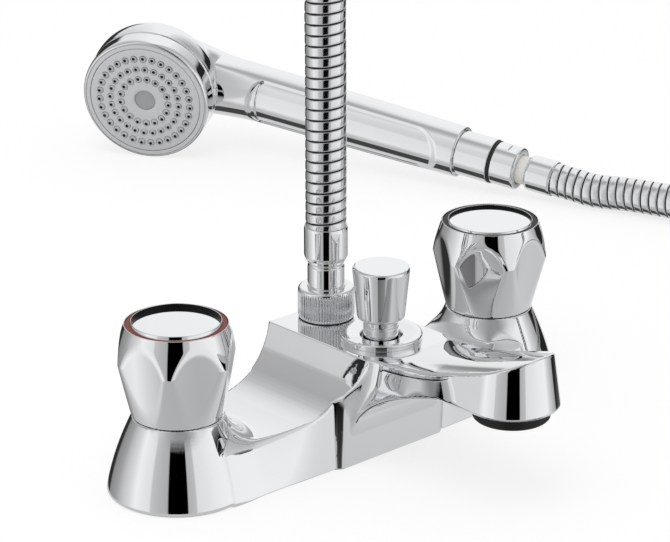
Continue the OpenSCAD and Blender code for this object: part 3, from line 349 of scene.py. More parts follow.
def level_surface(distance, low, high, step):
    """The surface on which distance(points) is zero, as points, quads and normals. Each cube that the
    surface crosses gets one point, the mean of the crossings on its edges, then moved onto the surface
    along the gradient; each edge that is crossed gets a quad between the four cubes round it."""
    axes = [np.arange(a, b + step, step) for a, b in zip(low, high)]
    shape = tuple(len(a) for a in axes)
    field = np.empty(shape)
    for x in np.array_split(np.arange(shape[0]), max(1, shape[0] // 24)):
        slab = np.stack(np.meshgrid(axes[0][x], axes[1], axes[2], indexing="ij"), -1)
        field[x] = distance(slab.reshape(-1, 3)).reshape(slab.shape[:3])
    inside = field < 0
    corners = np.array(list(itertools.product((0, 1), repeat=3)))
    cells = tuple(n - 1 for n in shape)
    count = sum(inside[a:a + cells[0], b:b + cells[1], c:c + cells[2]].astype(np.int8)
                for a, b, c in corners)
    where = np.argwhere((count > 0) & (count < 8))
    at = where[:, None, :] + corners[None]
    value = field[at[..., 0], at[..., 1], at[..., 2]]
    pairs = np.array(list(itertools.combinations(range(8), 2)))
    edges = pairs[abs(corners[pairs[:, 0]] - corners[pairs[:, 1]]).sum(1) == 1]
    first, last = value[:, edges[:, 0]], value[:, edges[:, 1]]
    crossed = (first < 0) != (last < 0)
    t = np.where(crossed, first / np.where(crossed, first - last, 1), 0)
    spot = corners[edges[:, 0]] + t[..., None] * (corners[edges[:, 1]] - corners[edges[:, 0]])
    mean = (spot * crossed[..., None]).sum(1) / crossed.sum(1)[:, None]
    points = np.array([a[0] for a in axes]) + (where + mean) * step
    for _ in range(3):
        slope = gradient(distance, points)
        move = distance(points)[:, None] * slope / np.maximum((slope ** 2).sum(1, keepdims=True), 0.05)
        points = points - np.clip(move, -0.5 * step, 0.5 * step)
    normals = gradient(distance, points)
    normals /= np.maximum(np.linalg.norm(normals, axis=1, keepdims=True), 1e-9)
    number = np.full(cells, -1, np.int64)
    number[tuple(where.T)] = np.arange(len(where))
    quads = []
    for axis in range(3):
        u, v = (axis + 1) % 3, (axis + 2) % 3
        lower = np.take(inside, np.arange(shape[axis] - 1), axis)
        upper = np.take(inside, np.arange(1, shape[axis]), axis)
        edge = np.argwhere(lower != upper)
        edge = edge[(edge[:, u] > 0) & (edge[:, v] > 0) & (edge[:, u] < cells[u]) & (edge[:, v] < cells[v])]
        ring = []
        for du, dv in ((-1, -1), (0, -1), (0, 0), (-1, 0)):
            cell = edge.copy()
            cell[:, u] += du
            cell[:, v] += dv
            ring.append(number[tuple(cell.T)])
        ring = np.stack(ring, -1)
        leaving = lower[tuple(edge.T)][:, None]
        quads.append(np.where(leaving, ring, ring[:, ::-1]))
    return points, np.concatenate(quads), normals


# Finishes


class Link:
    """A node's output. Arithmetic on it adds Math nodes to the same tree."""

    def __init__(self, tree, output):
        self.tree = tree
        self.output = output

    def maths(self, operation, first, second):
        return self.tree.add("ShaderNodeMath", {"operation": operation}, {0: first, 1: second})

    def __add__(self, other):
        return self.maths("ADD", self, other)

    def __radd__(self, other):
        return self.maths("ADD", other, self)

    def __sub__(self, other):
        return self.maths("SUBTRACT", self, other)

    def __rsub__(self, other):
        return self.maths("SUBTRACT", other, self)

    def __mul__(self, other):
        return self.maths("MULTIPLY", self, other)

    def __rmul__(self, other):
        return self.maths("MULTIPLY", other, self)


class Tree:
    """A node tree that is filled by one method."""

    def __init__(self, owner):
        owner.use_nodes = True
        self.tree = owner.node_tree
        self.tree.nodes.clear()

    def add(self, kind, settings=None, sockets=None, output=0):
        """A node of that kind: its settings first, then the values or links of its sockets."""
        node = self.tree.nodes.new(kind)
        for key, value in (settings or {}).items():
            if key == "stops":
                ramp = node.color_ramp.elements
                ramp[0].position, ramp[0].color = value[0]
                ramp[1].position, ramp[1].color = value[-1]
                for place, shade in value[1:-1]:
                    ramp.new(place).color = shade
            else:
                setattr(node, key, value)
        for key, value in (sockets or {}).items():
            if isinstance(value, Link):
                self.tree.links.new(value.output, node.inputs[key])
            else:
                node.inputs[key].default_value = value
        return Link(self, node.outputs[output]) if len(node.outputs) else None

    def place(self):
        """Object coordinates."""
        return self.add("ShaderNodeTexCoord", output=3)

    def noise(self, scale, detail=3.0, roughness=0.55):
        """Noise from 0 to 1 on Object coordinates, scale in turns a metre."""
        return self.add("ShaderNodeTexNoise", {"noise_dimensions": "3D"},
                        {"Vector": self.place(), "Scale": scale, "Detail": detail, "Roughness": roughness})

    def blend(self, factor, first, second):
        """A colour between two colours."""
        return self.add("ShaderNodeMix", {"data_type": "RGBA"}, {0: factor, 6: first, 7: second}, output=2)

    def number(self, name):
        """The piece's own named number."""
        settings = {"attribute_type": "GEOMETRY", "attribute_name": name}
        return self.add("ShaderNodeAttribute", settings, output=2)

    def surface(self, **sockets):
        """The principled shader on the material's output; words stand for its socket names."""
        names = {"base": "Base Color", "rough": "Roughness", "metal": "Metallic", "normal": "Normal",
                 "specular": "Specular IOR Level"}
        shader = self.add("ShaderNodeBsdfPrincipled", None, {names[k]: v for k, v in sockets.items()})
        self.add("ShaderNodeOutputMaterial", None, {"Surface": shader})


def rgba(value, scale=1.0):
    """A colour with alpha, made darker or lighter by scale."""
    return tuple(min(1.0, c * scale) for c in value) + (1.0,)


def polished(name, tint, shade, rough):
    """Polished plating: faint cloudy change of tint, and fine wiping marks that change the gloss."""
    material = bpy.data.materials.new(name)
    tree = Tree(material)
    cloud = tree.noise(35.0, 2.0)
    wipe = tree.noise(420.0, 4.0, 0.7)
    tree.surface(base=tree.blend(cloud, rgba(tint), rgba(tint, shade)), metal=1.0,
                 rough=rough + 0.02 * wipe * cloud)
    return material


def moulded(name, tint, rough, grain, height, shade=0.88, specular=0.5):
    """Moulded plastic or rubber: a fine grain in the surface and a slight change of shade."""
    material = bpy.data.materials.new(name)
    tree = Tree(material)
    cloud = tree.noise(60.0, 3.0)
    fine = tree.noise(grain, 4.0, 0.65)
    bump = tree.add("ShaderNodeBump", None, {"Strength": height, "Distance": 0.0002, "Height": fine})
    tree.surface(base=tree.blend(cloud, rgba(tint), rgba(tint, shade)), rough=rough + 0.12 * fine,
                 normal=bump, specular=specular)
    return material


def hose_strip(name, tint, groove):
    """Wound metal strip: bright on the crown of each rib and painted shade, a near black colour, in the
    groove beside it, which the piece's own number crown tells, with fine drawing marks."""
    material = bpy.data.materials.new(name)
    tree = Tree(material)
    crown = tree.number("crown")
    wipe = tree.noise(600.0, 3.0)
    # Painted shade: the base colour falls to the groove's near black where crown is 0
    tree.surface(base=tree.blend(crown, rgba(groove), rgba(tint)), metal=1.0,
                 rough=0.30 - 0.20 * crown + 0.06 * wipe)
    return material


def nozzle_rubber(name, tint):
    """Grey rubber of the nozzles with painted shade: dark in each nozzle's gap and black in its opening,
    which the piece's own number open tells.
    """
    material = bpy.data.materials.new(name)
    tree = Tree(material)
    gap_and_hole_shade = tree.number("open")
    fine = tree.noise(2500.0, 3.0)
    tree.surface(base=tree.blend(gap_and_hole_shade, rgba(tint), rgba(tint, 0.02)), rough=0.38 + 0.2 * fine, specular=0.15)
    return material


def finish(name):
    """The named finish, made once and shared."""
    title = name + "_finish"
    if title in bpy.data.materials:
        return bpy.data.materials[title]
    tints = bpy.context.scene.mixer_finishes
    makers = {
        "chrome": lambda: polished(title, tints.chrome, 0.965, 0.006),
        "hose_chrome": lambda: hose_strip(title, tints.hose, tints.groove),
        "brass": lambda: polished(title, tints.brass, 0.8, 0.22),
        "steel": lambda: polished(title, tints.steel, 0.85, 0.25),
        "black_rubber": lambda: moulded(title, tints.rubber, 0.55, 1800.0, 0.25),
        "red_fibre": lambda: moulded(title, tints.fibre, 0.7, 2600.0, 0.4, 0.75),
        "red_plastic": lambda: moulded(title, tints.red, 0.30, 900.0, 0.05, specular=0.2),
        "dark_plastic": lambda: moulded(title, tints.dark, 0.30, 900.0, 0.05, specular=0.12),
        "black_plastic": lambda: moulded(title, tints.black, 0.42, 1200.0, 0.12, specular=0.3),
        "white_plastic": lambda: moulded(title, tints.white, 0.30, 900.0, 0.08, 0.95),
        "grey_plastic": lambda: moulded(title, tints.grey, 0.24, 1500.0, 0.10, 0.95),
        "grey_rubber": lambda: nozzle_rubber(title, tints.soft_grey),
        "disc_grey": lambda: moulded(title, tints.disc, 0.30, 1500.0, 0.10, 0.95),
    }
    return makers[name]()


# Frames of the hand shower

# Stations along the handle's axis, in millimetres: where the drawn handle takes over from the neck's skin,
# then the pieces after it
GRIP_AT = 56.3
SLEEVE_AT, GASKET_AT, NUT_AT, NUT_END, FERRULE_AT, HOSE_AT = 179.0, 197.5, 199.3, 212.5, 217.7, 232.5

# Swell of the handle into the neck, in millimetres: the station where it starts, and what the radius and
# the way of the middle towards the spray side gain by station 0
NECK_FROM, NECK_SWELL, NECK_SHIFT = 70.0, 5.0, 9.5

# Share of the handle's taper that is even along it
EVEN_TAPER = 0.17


def shower_axes():
    """The head's turn as a matrix: about X first, then Y, then Z."""
    x, y, z = bpy.context.scene.mixer_shower.head_turn
    return np.array(Matrix.Rotation(z, 3, "Z") @ Matrix.Rotation(y, 3, "Y") @ Matrix.Rotation(x, 3, "X"))


def face_frame():
    """Origin and axes of the spray face: X towards the handle, Z out of the face."""
    axes = shower_axes()
    origin = np.array(bpy.context.scene.mixer_shower.head_place) / MM
    return origin, np.stack([axes[:, 0], axes[:, 2], -axes[:, 1]], 1)


def grip_frame(station):
    """Origin and axes on the handle's axis at a station: Z along the handle, away from the head."""
    sizes = bpy.context.scene.mixer_shower
    axes = shower_axes()
    along = axes @ np.array([math.cos(sizes.tilt), -math.sin(sizes.tilt), 0])
    across = -axes[:, 2]
    origin = np.array(sizes.head_place) / MM + axes @ np.array([0, sizes.set_back / MM, 0]) + along * station
    return origin, np.stack([across, np.cross(along, across), along], 1)


def grip_round(s):
    """Radius of the handle at station s, and how far its middle lies off the straight axis towards the
    spray side: top - (top - end) x (e + (1 - e) x), with x the share of the length and e the even share of
    the taper. Both grow with the square of the way into the neck."""
    sizes = bpy.context.scene.mixer_shower
    top, end, x = sizes.grip_top / MM, sizes.grip_end / MM, s / SLEEVE_AT
    near = np.clip(1 - s / NECK_FROM, 0, 1.2) ** 2
    taper = (top - end) * x * (EVEN_TAPER + (1 - EVEN_TAPER) * x)
    return top - taper + NECK_SWELL * near, NECK_SHIFT * near


# Route of the hose's centreline, in metres
HOSE_ROUTE = (
    (0, 0.0086, 0.0905), (0, 0.0086, 0.110), (0, 0.0086, 0.130), (0, 0.0086, 0.160), (0, 0.0086, 0.190),
    (0.002, 0.007, 0.229), (0.014, -0.004, 0.273), (0.038, -0.024, 0.313), (0.070, -0.052, 0.334),
    (0.103, -0.081, 0.327), (0.128, -0.102, 0.293), (0.141, -0.113, 0.246), (0.148, -0.119, 0.197),
    (0.154, -0.124, 0.148), (0.162, -0.131, 0.102), (0.175, -0.142, 0.060), (0.193, -0.158, 0.028),
    (0.219, -0.178, 0.012), (0.248, -0.196, 0.009), (0.280, -0.204, 0.009), (0.316, -0.197, 0.009),
    (0.346, -0.175, 0.009), (0.364, -0.143, 0.009), (0.368, -0.108, 0.009), (0.362, -0.075, 0.009),
    (0.350, -0.041, 0.009), (0.336, -0.003, 0.009), (0.321, 0.038, 0.009), (0.308, 0.074, 0.009),
    (0.298, 0.101, 0.0092),
)


def hose_curve(step):
    """Points every step millimetres along the smooth curve through the route and a straight end at the
    ferrule, and their distance from the start. Each span is the cubic whose end slopes run between the
    neighbouring points."""
    end, axes = grip_frame(HOSE_AT)
    tail = [end + axes[:, 2] * reach for reach in (22, 11, 0)]
    p = np.concatenate([np.array(HOSE_ROUTE) / MM, tail])
    p = np.concatenate([[2 * p[0] - p[1]], p, [2 * p[-1] - p[-2]]])
    gap = np.linalg.norm(np.diff(p, axis=0), axis=1)[:, None]
    slope = (p[2:] - p[:-2]) / (gap[1:] + gap[:-1])
    parts = 40
    t = (np.arange(parts) / parts)[None, :, None]
    a, b, span = p[1:-2, None], p[2:-1, None], gap[1:-1, None]
    m, n = slope[:-1, None] * span, slope[1:, None] * span
    curve = ((2 * t ** 3 - 3 * t ** 2 + 1) * a + (t ** 3 - 2 * t ** 2 + t) * m
             + (3 * t ** 2 - 2 * t ** 3) * b + (t ** 3 - t ** 2) * n).reshape(-1, 3)
    curve = np.concatenate([curve, p[-2:-1]])
    run = np.concatenate([[0], np.cumsum(np.linalg.norm(np.diff(curve, axis=0), axis=1))])
    at = np.linspace(0, run[-1], int(run[-1] / step) + 1)
    return np.stack([np.interp(at, run, curve[:, k]) for k in range(3)], -1), at


def carried_frames(points):
    """Two axes across a path, carried along it without twist: at each point the last axis loses its part
    along the new direction."""
    ahead = np.gradient(points, axis=0)
    ahead /= np.linalg.norm(ahead, axis=1, keepdims=True)

    def carry(last, direction):
        across = last - direction * (last @ direction)
        return across / np.linalg.norm(across)

    across = np.array(list(itertools.accumulate(ahead, carry, initial=np.array([1.0, 0, 0]))))[1:]
    return across, np.cross(ahead, across)


# Shades of the light tent by the turn from the camera's side, in degrees: white and grey cloths, the dark
# slot that the camera looks through, and two dark gaps behind
TENT_WALL = (
    (-180, 0.95), (-173, 0.9), (-171, 0.03), (-143, 0.03), (-137, 0.28), (-113, 0.40), (-98, 0.62),
    (-83, 0.78), (-70, 1.0), (-58, 0.92), (-45, 0.86), (-42, 0.62), (-30, 0.54), (-15.6, 0.48), (-15, 0.0),
    (16, 0.0), (16.6, 0.50), (29, 0.58), (31, 0.84), (52, 0.90), (67, 0.96), (88, 1.0), (97, 0.75),
    (112, 0.50), (119, 0.40), (121, 0.02), (150, 0.02), (153, 0.9), (180, 0.95),
)
TENT_ROOF = (
    (-180, 1.0), (-160, 0.85), (-140, 0.60), (-113, 0.45), (-83, 0.50), (-68, 0.60), (-53, 0.85),
    (-38, 0.62), (-20, 0.45), (0, 0.33), (22, 0.33), (37, 0.50), (52, 0.75), (75, 0.72), (97, 0.55),
    (125, 0.45), (142, 0.75), (155, 1.0), (180, 1.0),
)


class MIXER_OT_stage(bpy.types.Operator):
    """Camera, floor and the light of the studio"""

    bl_idname = "mixer.stage"
    bl_label = "Stage"

    def execute(self, context):
        scene, studio = context.scene, context.scene.mixer_studio
        scene.view_settings.view_transform = "Standard"
        back = Vector((math.sin(studio.azimuth) * math.cos(studio.elevation),
                       -math.cos(studio.azimuth) * math.cos(studio.elevation), math.sin(studio.elevation)))
        camera = bpy.data.objects.new("camera", bpy.data.cameras.new("camera"))
        camera.data.lens = studio.lens
        camera.data.sensor_width = 36.0
        camera.data.shift_x, camera.data.shift_y = studio.shift
        camera.data.clip_end = 50.0
        camera.location = Vector(studio.aim) + back * studio.distance
        camera.rotation_euler = back.to_track_quat("Z", "Y").to_euler()
        scene.collection.objects.link(camera)
        scene.camera = camera
        self.world(scene, studio)
        self.floor(studio)
        self.cards(studio)
        return {"FINISHED"}

    def world(self, scene, studio):
        """White to the camera, an even light on everything, and a light tent in the polished metal."""
        world = bpy.data.worlds.new("studio")
        scene.world = world
        tree = Tree(world)
        camera = tree.add("ShaderNodeLightPath", output=0)
        glossy = tree.add("ShaderNodeLightPath", output=3)
        through = tree.add("ShaderNodeLightPath", output=6)
        plain = studio.ambient + (1.0 - studio.ambient) * (camera + through)
        strength = glossy * self.tent(tree, studio) + (1.0 - glossy) * plain
        light = tree.add("ShaderNodeBackground", None, {"Color": (1, 1, 1, 1), "Strength": strength})
        tree.add("ShaderNodeOutputWorld", None, {"Surface": light})
        key = bpy.data.objects.new("key", bpy.data.lights.new("key", "AREA"))
        key.data.shape, key.data.size, key.data.energy = "DISK", 1.6, 14.0
        place, target = Vector((-0.9, -0.5, 2.2)), Vector((0.1, 0.1, 0))
        key.location = place
        key.rotation_euler = (place - target).to_track_quat("Z", "Y").to_euler()
        key.visible_glossy = False
        scene.collection.objects.link(key)

    def tent(self, tree, studio):
        """The tent's shade in a direction: its wall and its roof change with the turn from the camera's
        side, the roof starts lower behind the object, and the table under it all is grey with a shadow
        right below. Each border is a ramp (height - level) x sharpness + 1/2, held between 0 and 1."""
        towards = tree.add("ShaderNodeTexCoord", output=0)

        def part(vector):
            settings = {"operation": "DOT_PRODUCT"}
            return tree.add("ShaderNodeVectorMath", settings, {0: towards, 1: vector}, output=1)

        def shades(stops):
            greys = [((degrees + 180) / 360, (shade, shade, shade, 1)) for degrees, shade in stops]
            ramp = tree.add("ShaderNodeValToRGB", {"stops": greys}, {0: turn})
            return tree.add("ShaderNodeRGBToBW", None, {0: ramp})

        def border(height, sharpness):
            settings = {"operation": "ADD", "use_clamp": True}
            return tree.add("ShaderNodeMath", settings, {0: height * sharpness, 1: 0.5})

        ahead = part((math.sin(studio.azimuth), -math.cos(studio.azimuth), 0))
        aside = part((math.cos(studio.azimuth), math.sin(studio.azimuth), 0))
        up = part((0, 0, 1))
        angle_round = tree.add("ShaderNodeMath", {"operation": "ARCTAN2"}, {0: aside, 1: ahead})
        turn = angle_round * (0.5 / math.pi) + 0.5
        roof = border(up - 0.32 - 0.085 * ahead, 12.0)
        table = border(-0.5 - 0.05 * ahead + 0.12 * aside - up, 5.0)
        shadow = border(-0.79 - up, 30.0) * border(0.15 - ahead, 25.0) * border(ahead + 0.33, 20.0)
        ground = studio.table * (1.0 - 0.3 * ahead) * (1.0 - 0.9 * shadow)
        wall = shades(TENT_WALL) * (1.0 - roof) + shades(TENT_ROOF) * roof
        return wall * (1.0 - table) + ground * table

    def floor(self, studio):
        """A white floor with a faint mottle, which keeps the shadow. The metal shows the tent in its
        place."""
        half, drop = 6000.0, 0.02
        corners = np.array([[-1, -1], [1, -1], [1, 1], [-1, 1]]) * half
        points = np.column_stack([corners, np.full(4, -drop)])
        floor = make_piece("floor", points, np.array([[0, 1, 2, 3]]))
        material = bpy.data.materials.new("floor")
        tree = Tree(material)
        mottle = tree.blend(tree.noise(3.0), rgba(studio.floor), rgba(studio.floor, 0.985))
        lit = tree.add("ShaderNodeBsdfDiffuse", None, {"Color": mottle})
        white = tree.add("ShaderNodeEmission", None, {"Color": (1, 1, 1, 1), "Strength": 1.06})
        camera = tree.add("ShaderNodeLightPath", output=0)
        through = tree.add("ShaderNodeLightPath", output=6)
        share_white = studio.white * (camera + through)
        mixed = tree.add("ShaderNodeMixShader", None, {0: share_white, 1: lit, 2: white})
        tree.add("ShaderNodeOutputMaterial", None, {"Surface": mixed})
        floor.data.materials.append(material)
        floor.visible_glossy = False

    def cards(self, studio):
        """A grey card round each tail, so that the metal does not show the tails through the floor."""
        reach, low, high = 34.0, -62.0, -0.1
        material = bpy.data.materials.new("card")
        tree = Tree(material)
        shade = studio.table * (0.97 + 0.06 * tree.noise(20.0))
        light = tree.add("ShaderNodeEmission", None, {"Strength": shade})
        tree.add("ShaderNodeOutputMaterial", None, {"Surface": light})
        profile = np.array([(0, low), (reach, low), (reach, high)])
        for name in ("hot_tail", "cold_tail"):
            x, y, _ = centre_mm(name)
            card = turned_piece(name + "_card", profile, (x, y, 0), sides=48, closed=False)
            card.data.materials.append(material)
            card.visible_camera = card.visible_diffuse = False
            card.visible_transmission = card.visible_shadow = False


class MIXER_OT_hose(bpy.types.Operator):
    """The ribbed metal hose, wound round its route"""

    bl_idname = "mixer.hose"
    bl_label = "Hose"

    def execute(self, context):
        """A strip wound round the route. The grid follows the winding: at turn u and angle a the place
        along the route is pitch (u + a / 2 pi), so the last column joins the first one a whole turn later.
        The radius is the crown less the groove at the joint of two turns."""
        sizes = context.scene.mixer_hose
        route, at = hose_curve(0.5)
        across, beside = carried_frames(route)
        pitch, outer, depth = sizes.pitch / MM, sizes.outer / MM, sizes.depth / MM
        stops = np.array([0.0, 0.03, 0.06, 0.10, 0.16, 0.30, 0.50, 0.70, 0.84, 0.90, 0.94, 0.97])
        dip = np.array([1.0, 0.9, 0.5, 0.16, 0.05, 0.012, 0.0, 0.012, 0.05, 0.16, 0.5, 0.9])
        turns = int(math.ceil(at[-1] / pitch)) + 1
        u = (np.arange(-1, turns)[:, None] + stops[None]).reshape(-1)
        low = np.tile(dip, turns + 1)
        turn = np.arange(sizes.sides) * (2 * np.pi / sizes.sides)
        s = np.clip(pitch * (u[:, None] + turn[None] / (2 * np.pi)), 0, at[-1])
        r = outer - depth * low[:, None]

        def along(values):
            return np.stack([np.interp(s, at, values[:, k]) for k in range(3)], -1)

        cos, sin = np.cos(turn)[None, :, None], np.sin(turn)[None, :, None]
        points = along(route) + r[..., None] * (cos * along(across) + sin * along(beside))
        rows, columns, shift = len(u), sizes.sides, len(stops)
        i, j = np.arange(rows - 1 - shift)[:, None], np.arange(columns)[None, :]
        j_on = (j + 1) % columns
        i_on = i + np.where(j + 1 == columns, shift, 0)
        quads = np.stack([i * columns + j, i_on * columns + j_on, (i_on + 1) * columns + j_on,
                          (i + 1) * columns + j], -1).reshape(-1, 4)
        flat = s.reshape(-1)[quads]
        quads = quads[(flat.max(1) - flat.min(1)) > 1e-6]
        # crown is 1 on a rib and 0 in the groove, where the strip gets painted shade
        crown = np.repeat(np.clip((0.6 - low[:, None]) / 0.5, 0, 1), columns, 1)
        piece = make_piece("hose", points, quads, values={"crown": crown})
        dress(piece, "mixer", "hose_chrome", "shower_hose")
        return {"FINISHED"}


class MIXER_OT_hose_ends(bpy.types.Operator):
    """Knurled hose nut, neck, ferrules, insert and swivel nut"""

    bl_idname = "mixer.hose_ends"
    bl_label = "Hose ends"

    def execute(self, context):
        self.knurled_nut()
        x, y, _ = centre_mm("hose_neck")
        low = box_mm("hose_neck")[0][2]
        neck = rounded([(5.2, low), (10.0, low), (10.0, low + 1.4), (7.9, low + 1.4), (7.9, 72.6),
                        (7.5, 73.2), (7.5, 73.9), (7.9, 74.5), (7.9, 78.5), (5.2, 78.5)], 0.25)
        dress(turned_piece("hose_neck_turned", neck, (x, y, 0)), "mixer", "chrome", "hose_neck")
        foot = (x, y, box_mm("mixer_ferrule")[0][2])
        self.ferrule("lower_ferrule", foot, np.eye(3), "mixer_ferrule", 7.9)
        self.ferrule("upper_ferrule", *grip_frame(FERRULE_AT), "handset_ferrule", 7.4)
        insert = rounded([(4.8, -1.8), (10.1, -1.8), (10.1, -0.3), (7.4, -0.3), (7.4, 12.8), (4.8, 12.8)],
                         0.3)
        piece = turned_piece("insert", insert, *grip_frame(NUT_END - 3.4))
        dress(piece, "mixer", "white_plastic", "swivel_insert")
        self.swivel_nut()
        ring = rounded([(10.5, 0), (11.4, 0), (11.4, 1.8), (10.5, 1.8)], 0.3)
        piece = turned_piece("swivel_ring", ring, *grip_frame(GASKET_AT))
        dress(piece, "handset", "black_rubber", "swivel_gasket")
        return {"FINISHED"}

    def ferrule(self, name, origin, axes, node, stub):
        """A crimped ferrule round a stub: a smooth tube with a stepped foot and a rolled lip."""
        profile = rounded([(stub + 0.1, 0), (stub + 0.7, 0), (9.0, 0.9), (9.35, 1.8), (9.35, 13.7),
                           (9.1, 14.8), (8.75, 14.8), (8.0, 13.6), (8.0, 5.0), (stub + 0.1, 4.4)], 0.45)
        dress(turned_piece(name, profile, origin, axes), "mixer", "chrome", node)

    def knurled_nut(self):
        """A nut with rounded upright ribs on a black seat: between two ribs the radius falls by
        depth (1 - |cos|^0.7), and the ribs fade at both ends."""
        low, high = box_mm("hose_nut")[0][2], box_mm("hose_nut")[1][2]
        x, y, _ = centre_mm("hose_nut")
        outer, ribs, depth, steps = 12.0, 60, 0.8, 14
        sides = 8 * ribs
        wall = np.linspace(low + 1.3, high - 2.2, steps)
        profile = np.concatenate([
            [(10.5, low), (11.2, low)], bezier((11.3, low), (11.75, low), (11.8, low + 0.6), 4),
            np.stack([np.full(steps, outer), wall], -1),
            bezier((11.95, high - 1.5), (11.9, high - 0.1), (10.6, high), 6),
            [(8.1, high), (8.0, high - 0.3), (8.0, high - 1.8), (10.5, high - 1.9)]])
        points = revolve(profile, sides)
        ripple = np.abs(np.cos(np.arange(sides) * np.pi * ribs / sides)) ** 0.7
        r, z = profile.T
        fade = np.clip((z - low - 0.7) / 0.8, 0, 1) * np.clip((high - 1.7 - z) / 0.7, 0, 1) * (r > 11.6)
        points[..., :2] *= (1 - (depth / outer) * fade[:, None] * (1 - ripple)[None])[..., None]
        points = placed(points, (x, y, 0), np.eye(3))
        piece = make_piece("knurled_nut", points, grid_quads(len(profile), sides, True))
        dress(piece, "mixer", "chrome", "hose_nut")
        seat = rounded([(9.0, low - 0.5), (11.7, low - 0.5), (11.7, low + 0.1), (9.0, low + 0.1)], 0.1)
        dress(turned_piece("nut_seat", seat, (x, y, 0)), "mixer", "black_rubber")

    def swivel_nut(self):
        """The swivel nut: a turned collar whose radius is cut by two flats near its hose end, at
        distance / |cos a| from the axis."""
        origin, axes = grip_frame(NUT_AT)
        size, outer, flat, steps, sides = NUT_END - NUT_AT, 11.2, 10.5, 40, 192
        wall = np.linspace(1.2, size - 0.9, steps)
        profile = np.concatenate([
            [(10.5, 0.02)], bezier((10.7, 0), (outer, 0), (outer, 0.6), 4),
            np.stack([np.full(steps, outer), wall], -1),
            bezier((11.1, size - 0.5), (11.0, size), (10.2, size), 5),
            [(7.9, size), (7.7, size - 0.3), (7.7, size - 3.4), (10.5, size - 3.5)]])
        points = revolve(profile, sides)
        r, z = profile[:, :1], profile[:, 1:]
        within = np.clip((z - (size - 6.6)) / 0.35, 0, 1) * np.clip((size - 1.4 - z) / 0.35, 0, 1)
        turn = np.arange(sides) * (2 * np.pi / sides)
        reach = flat / np.maximum(np.abs(np.cos(turn)), 1e-3)[None] + (1 - within) * 0.7
        cut = np.where((within > 0) & (r > 10.9), np.minimum(r, reach), r)
        points[..., :2] *= (cut / r)[..., None]
        points = placed(points, origin, axes)
        piece = make_piece("swivel_collar", points, grid_quads(len(profile), sides, True))
        dress(piece, "handset", "chrome", "swivel_nut")


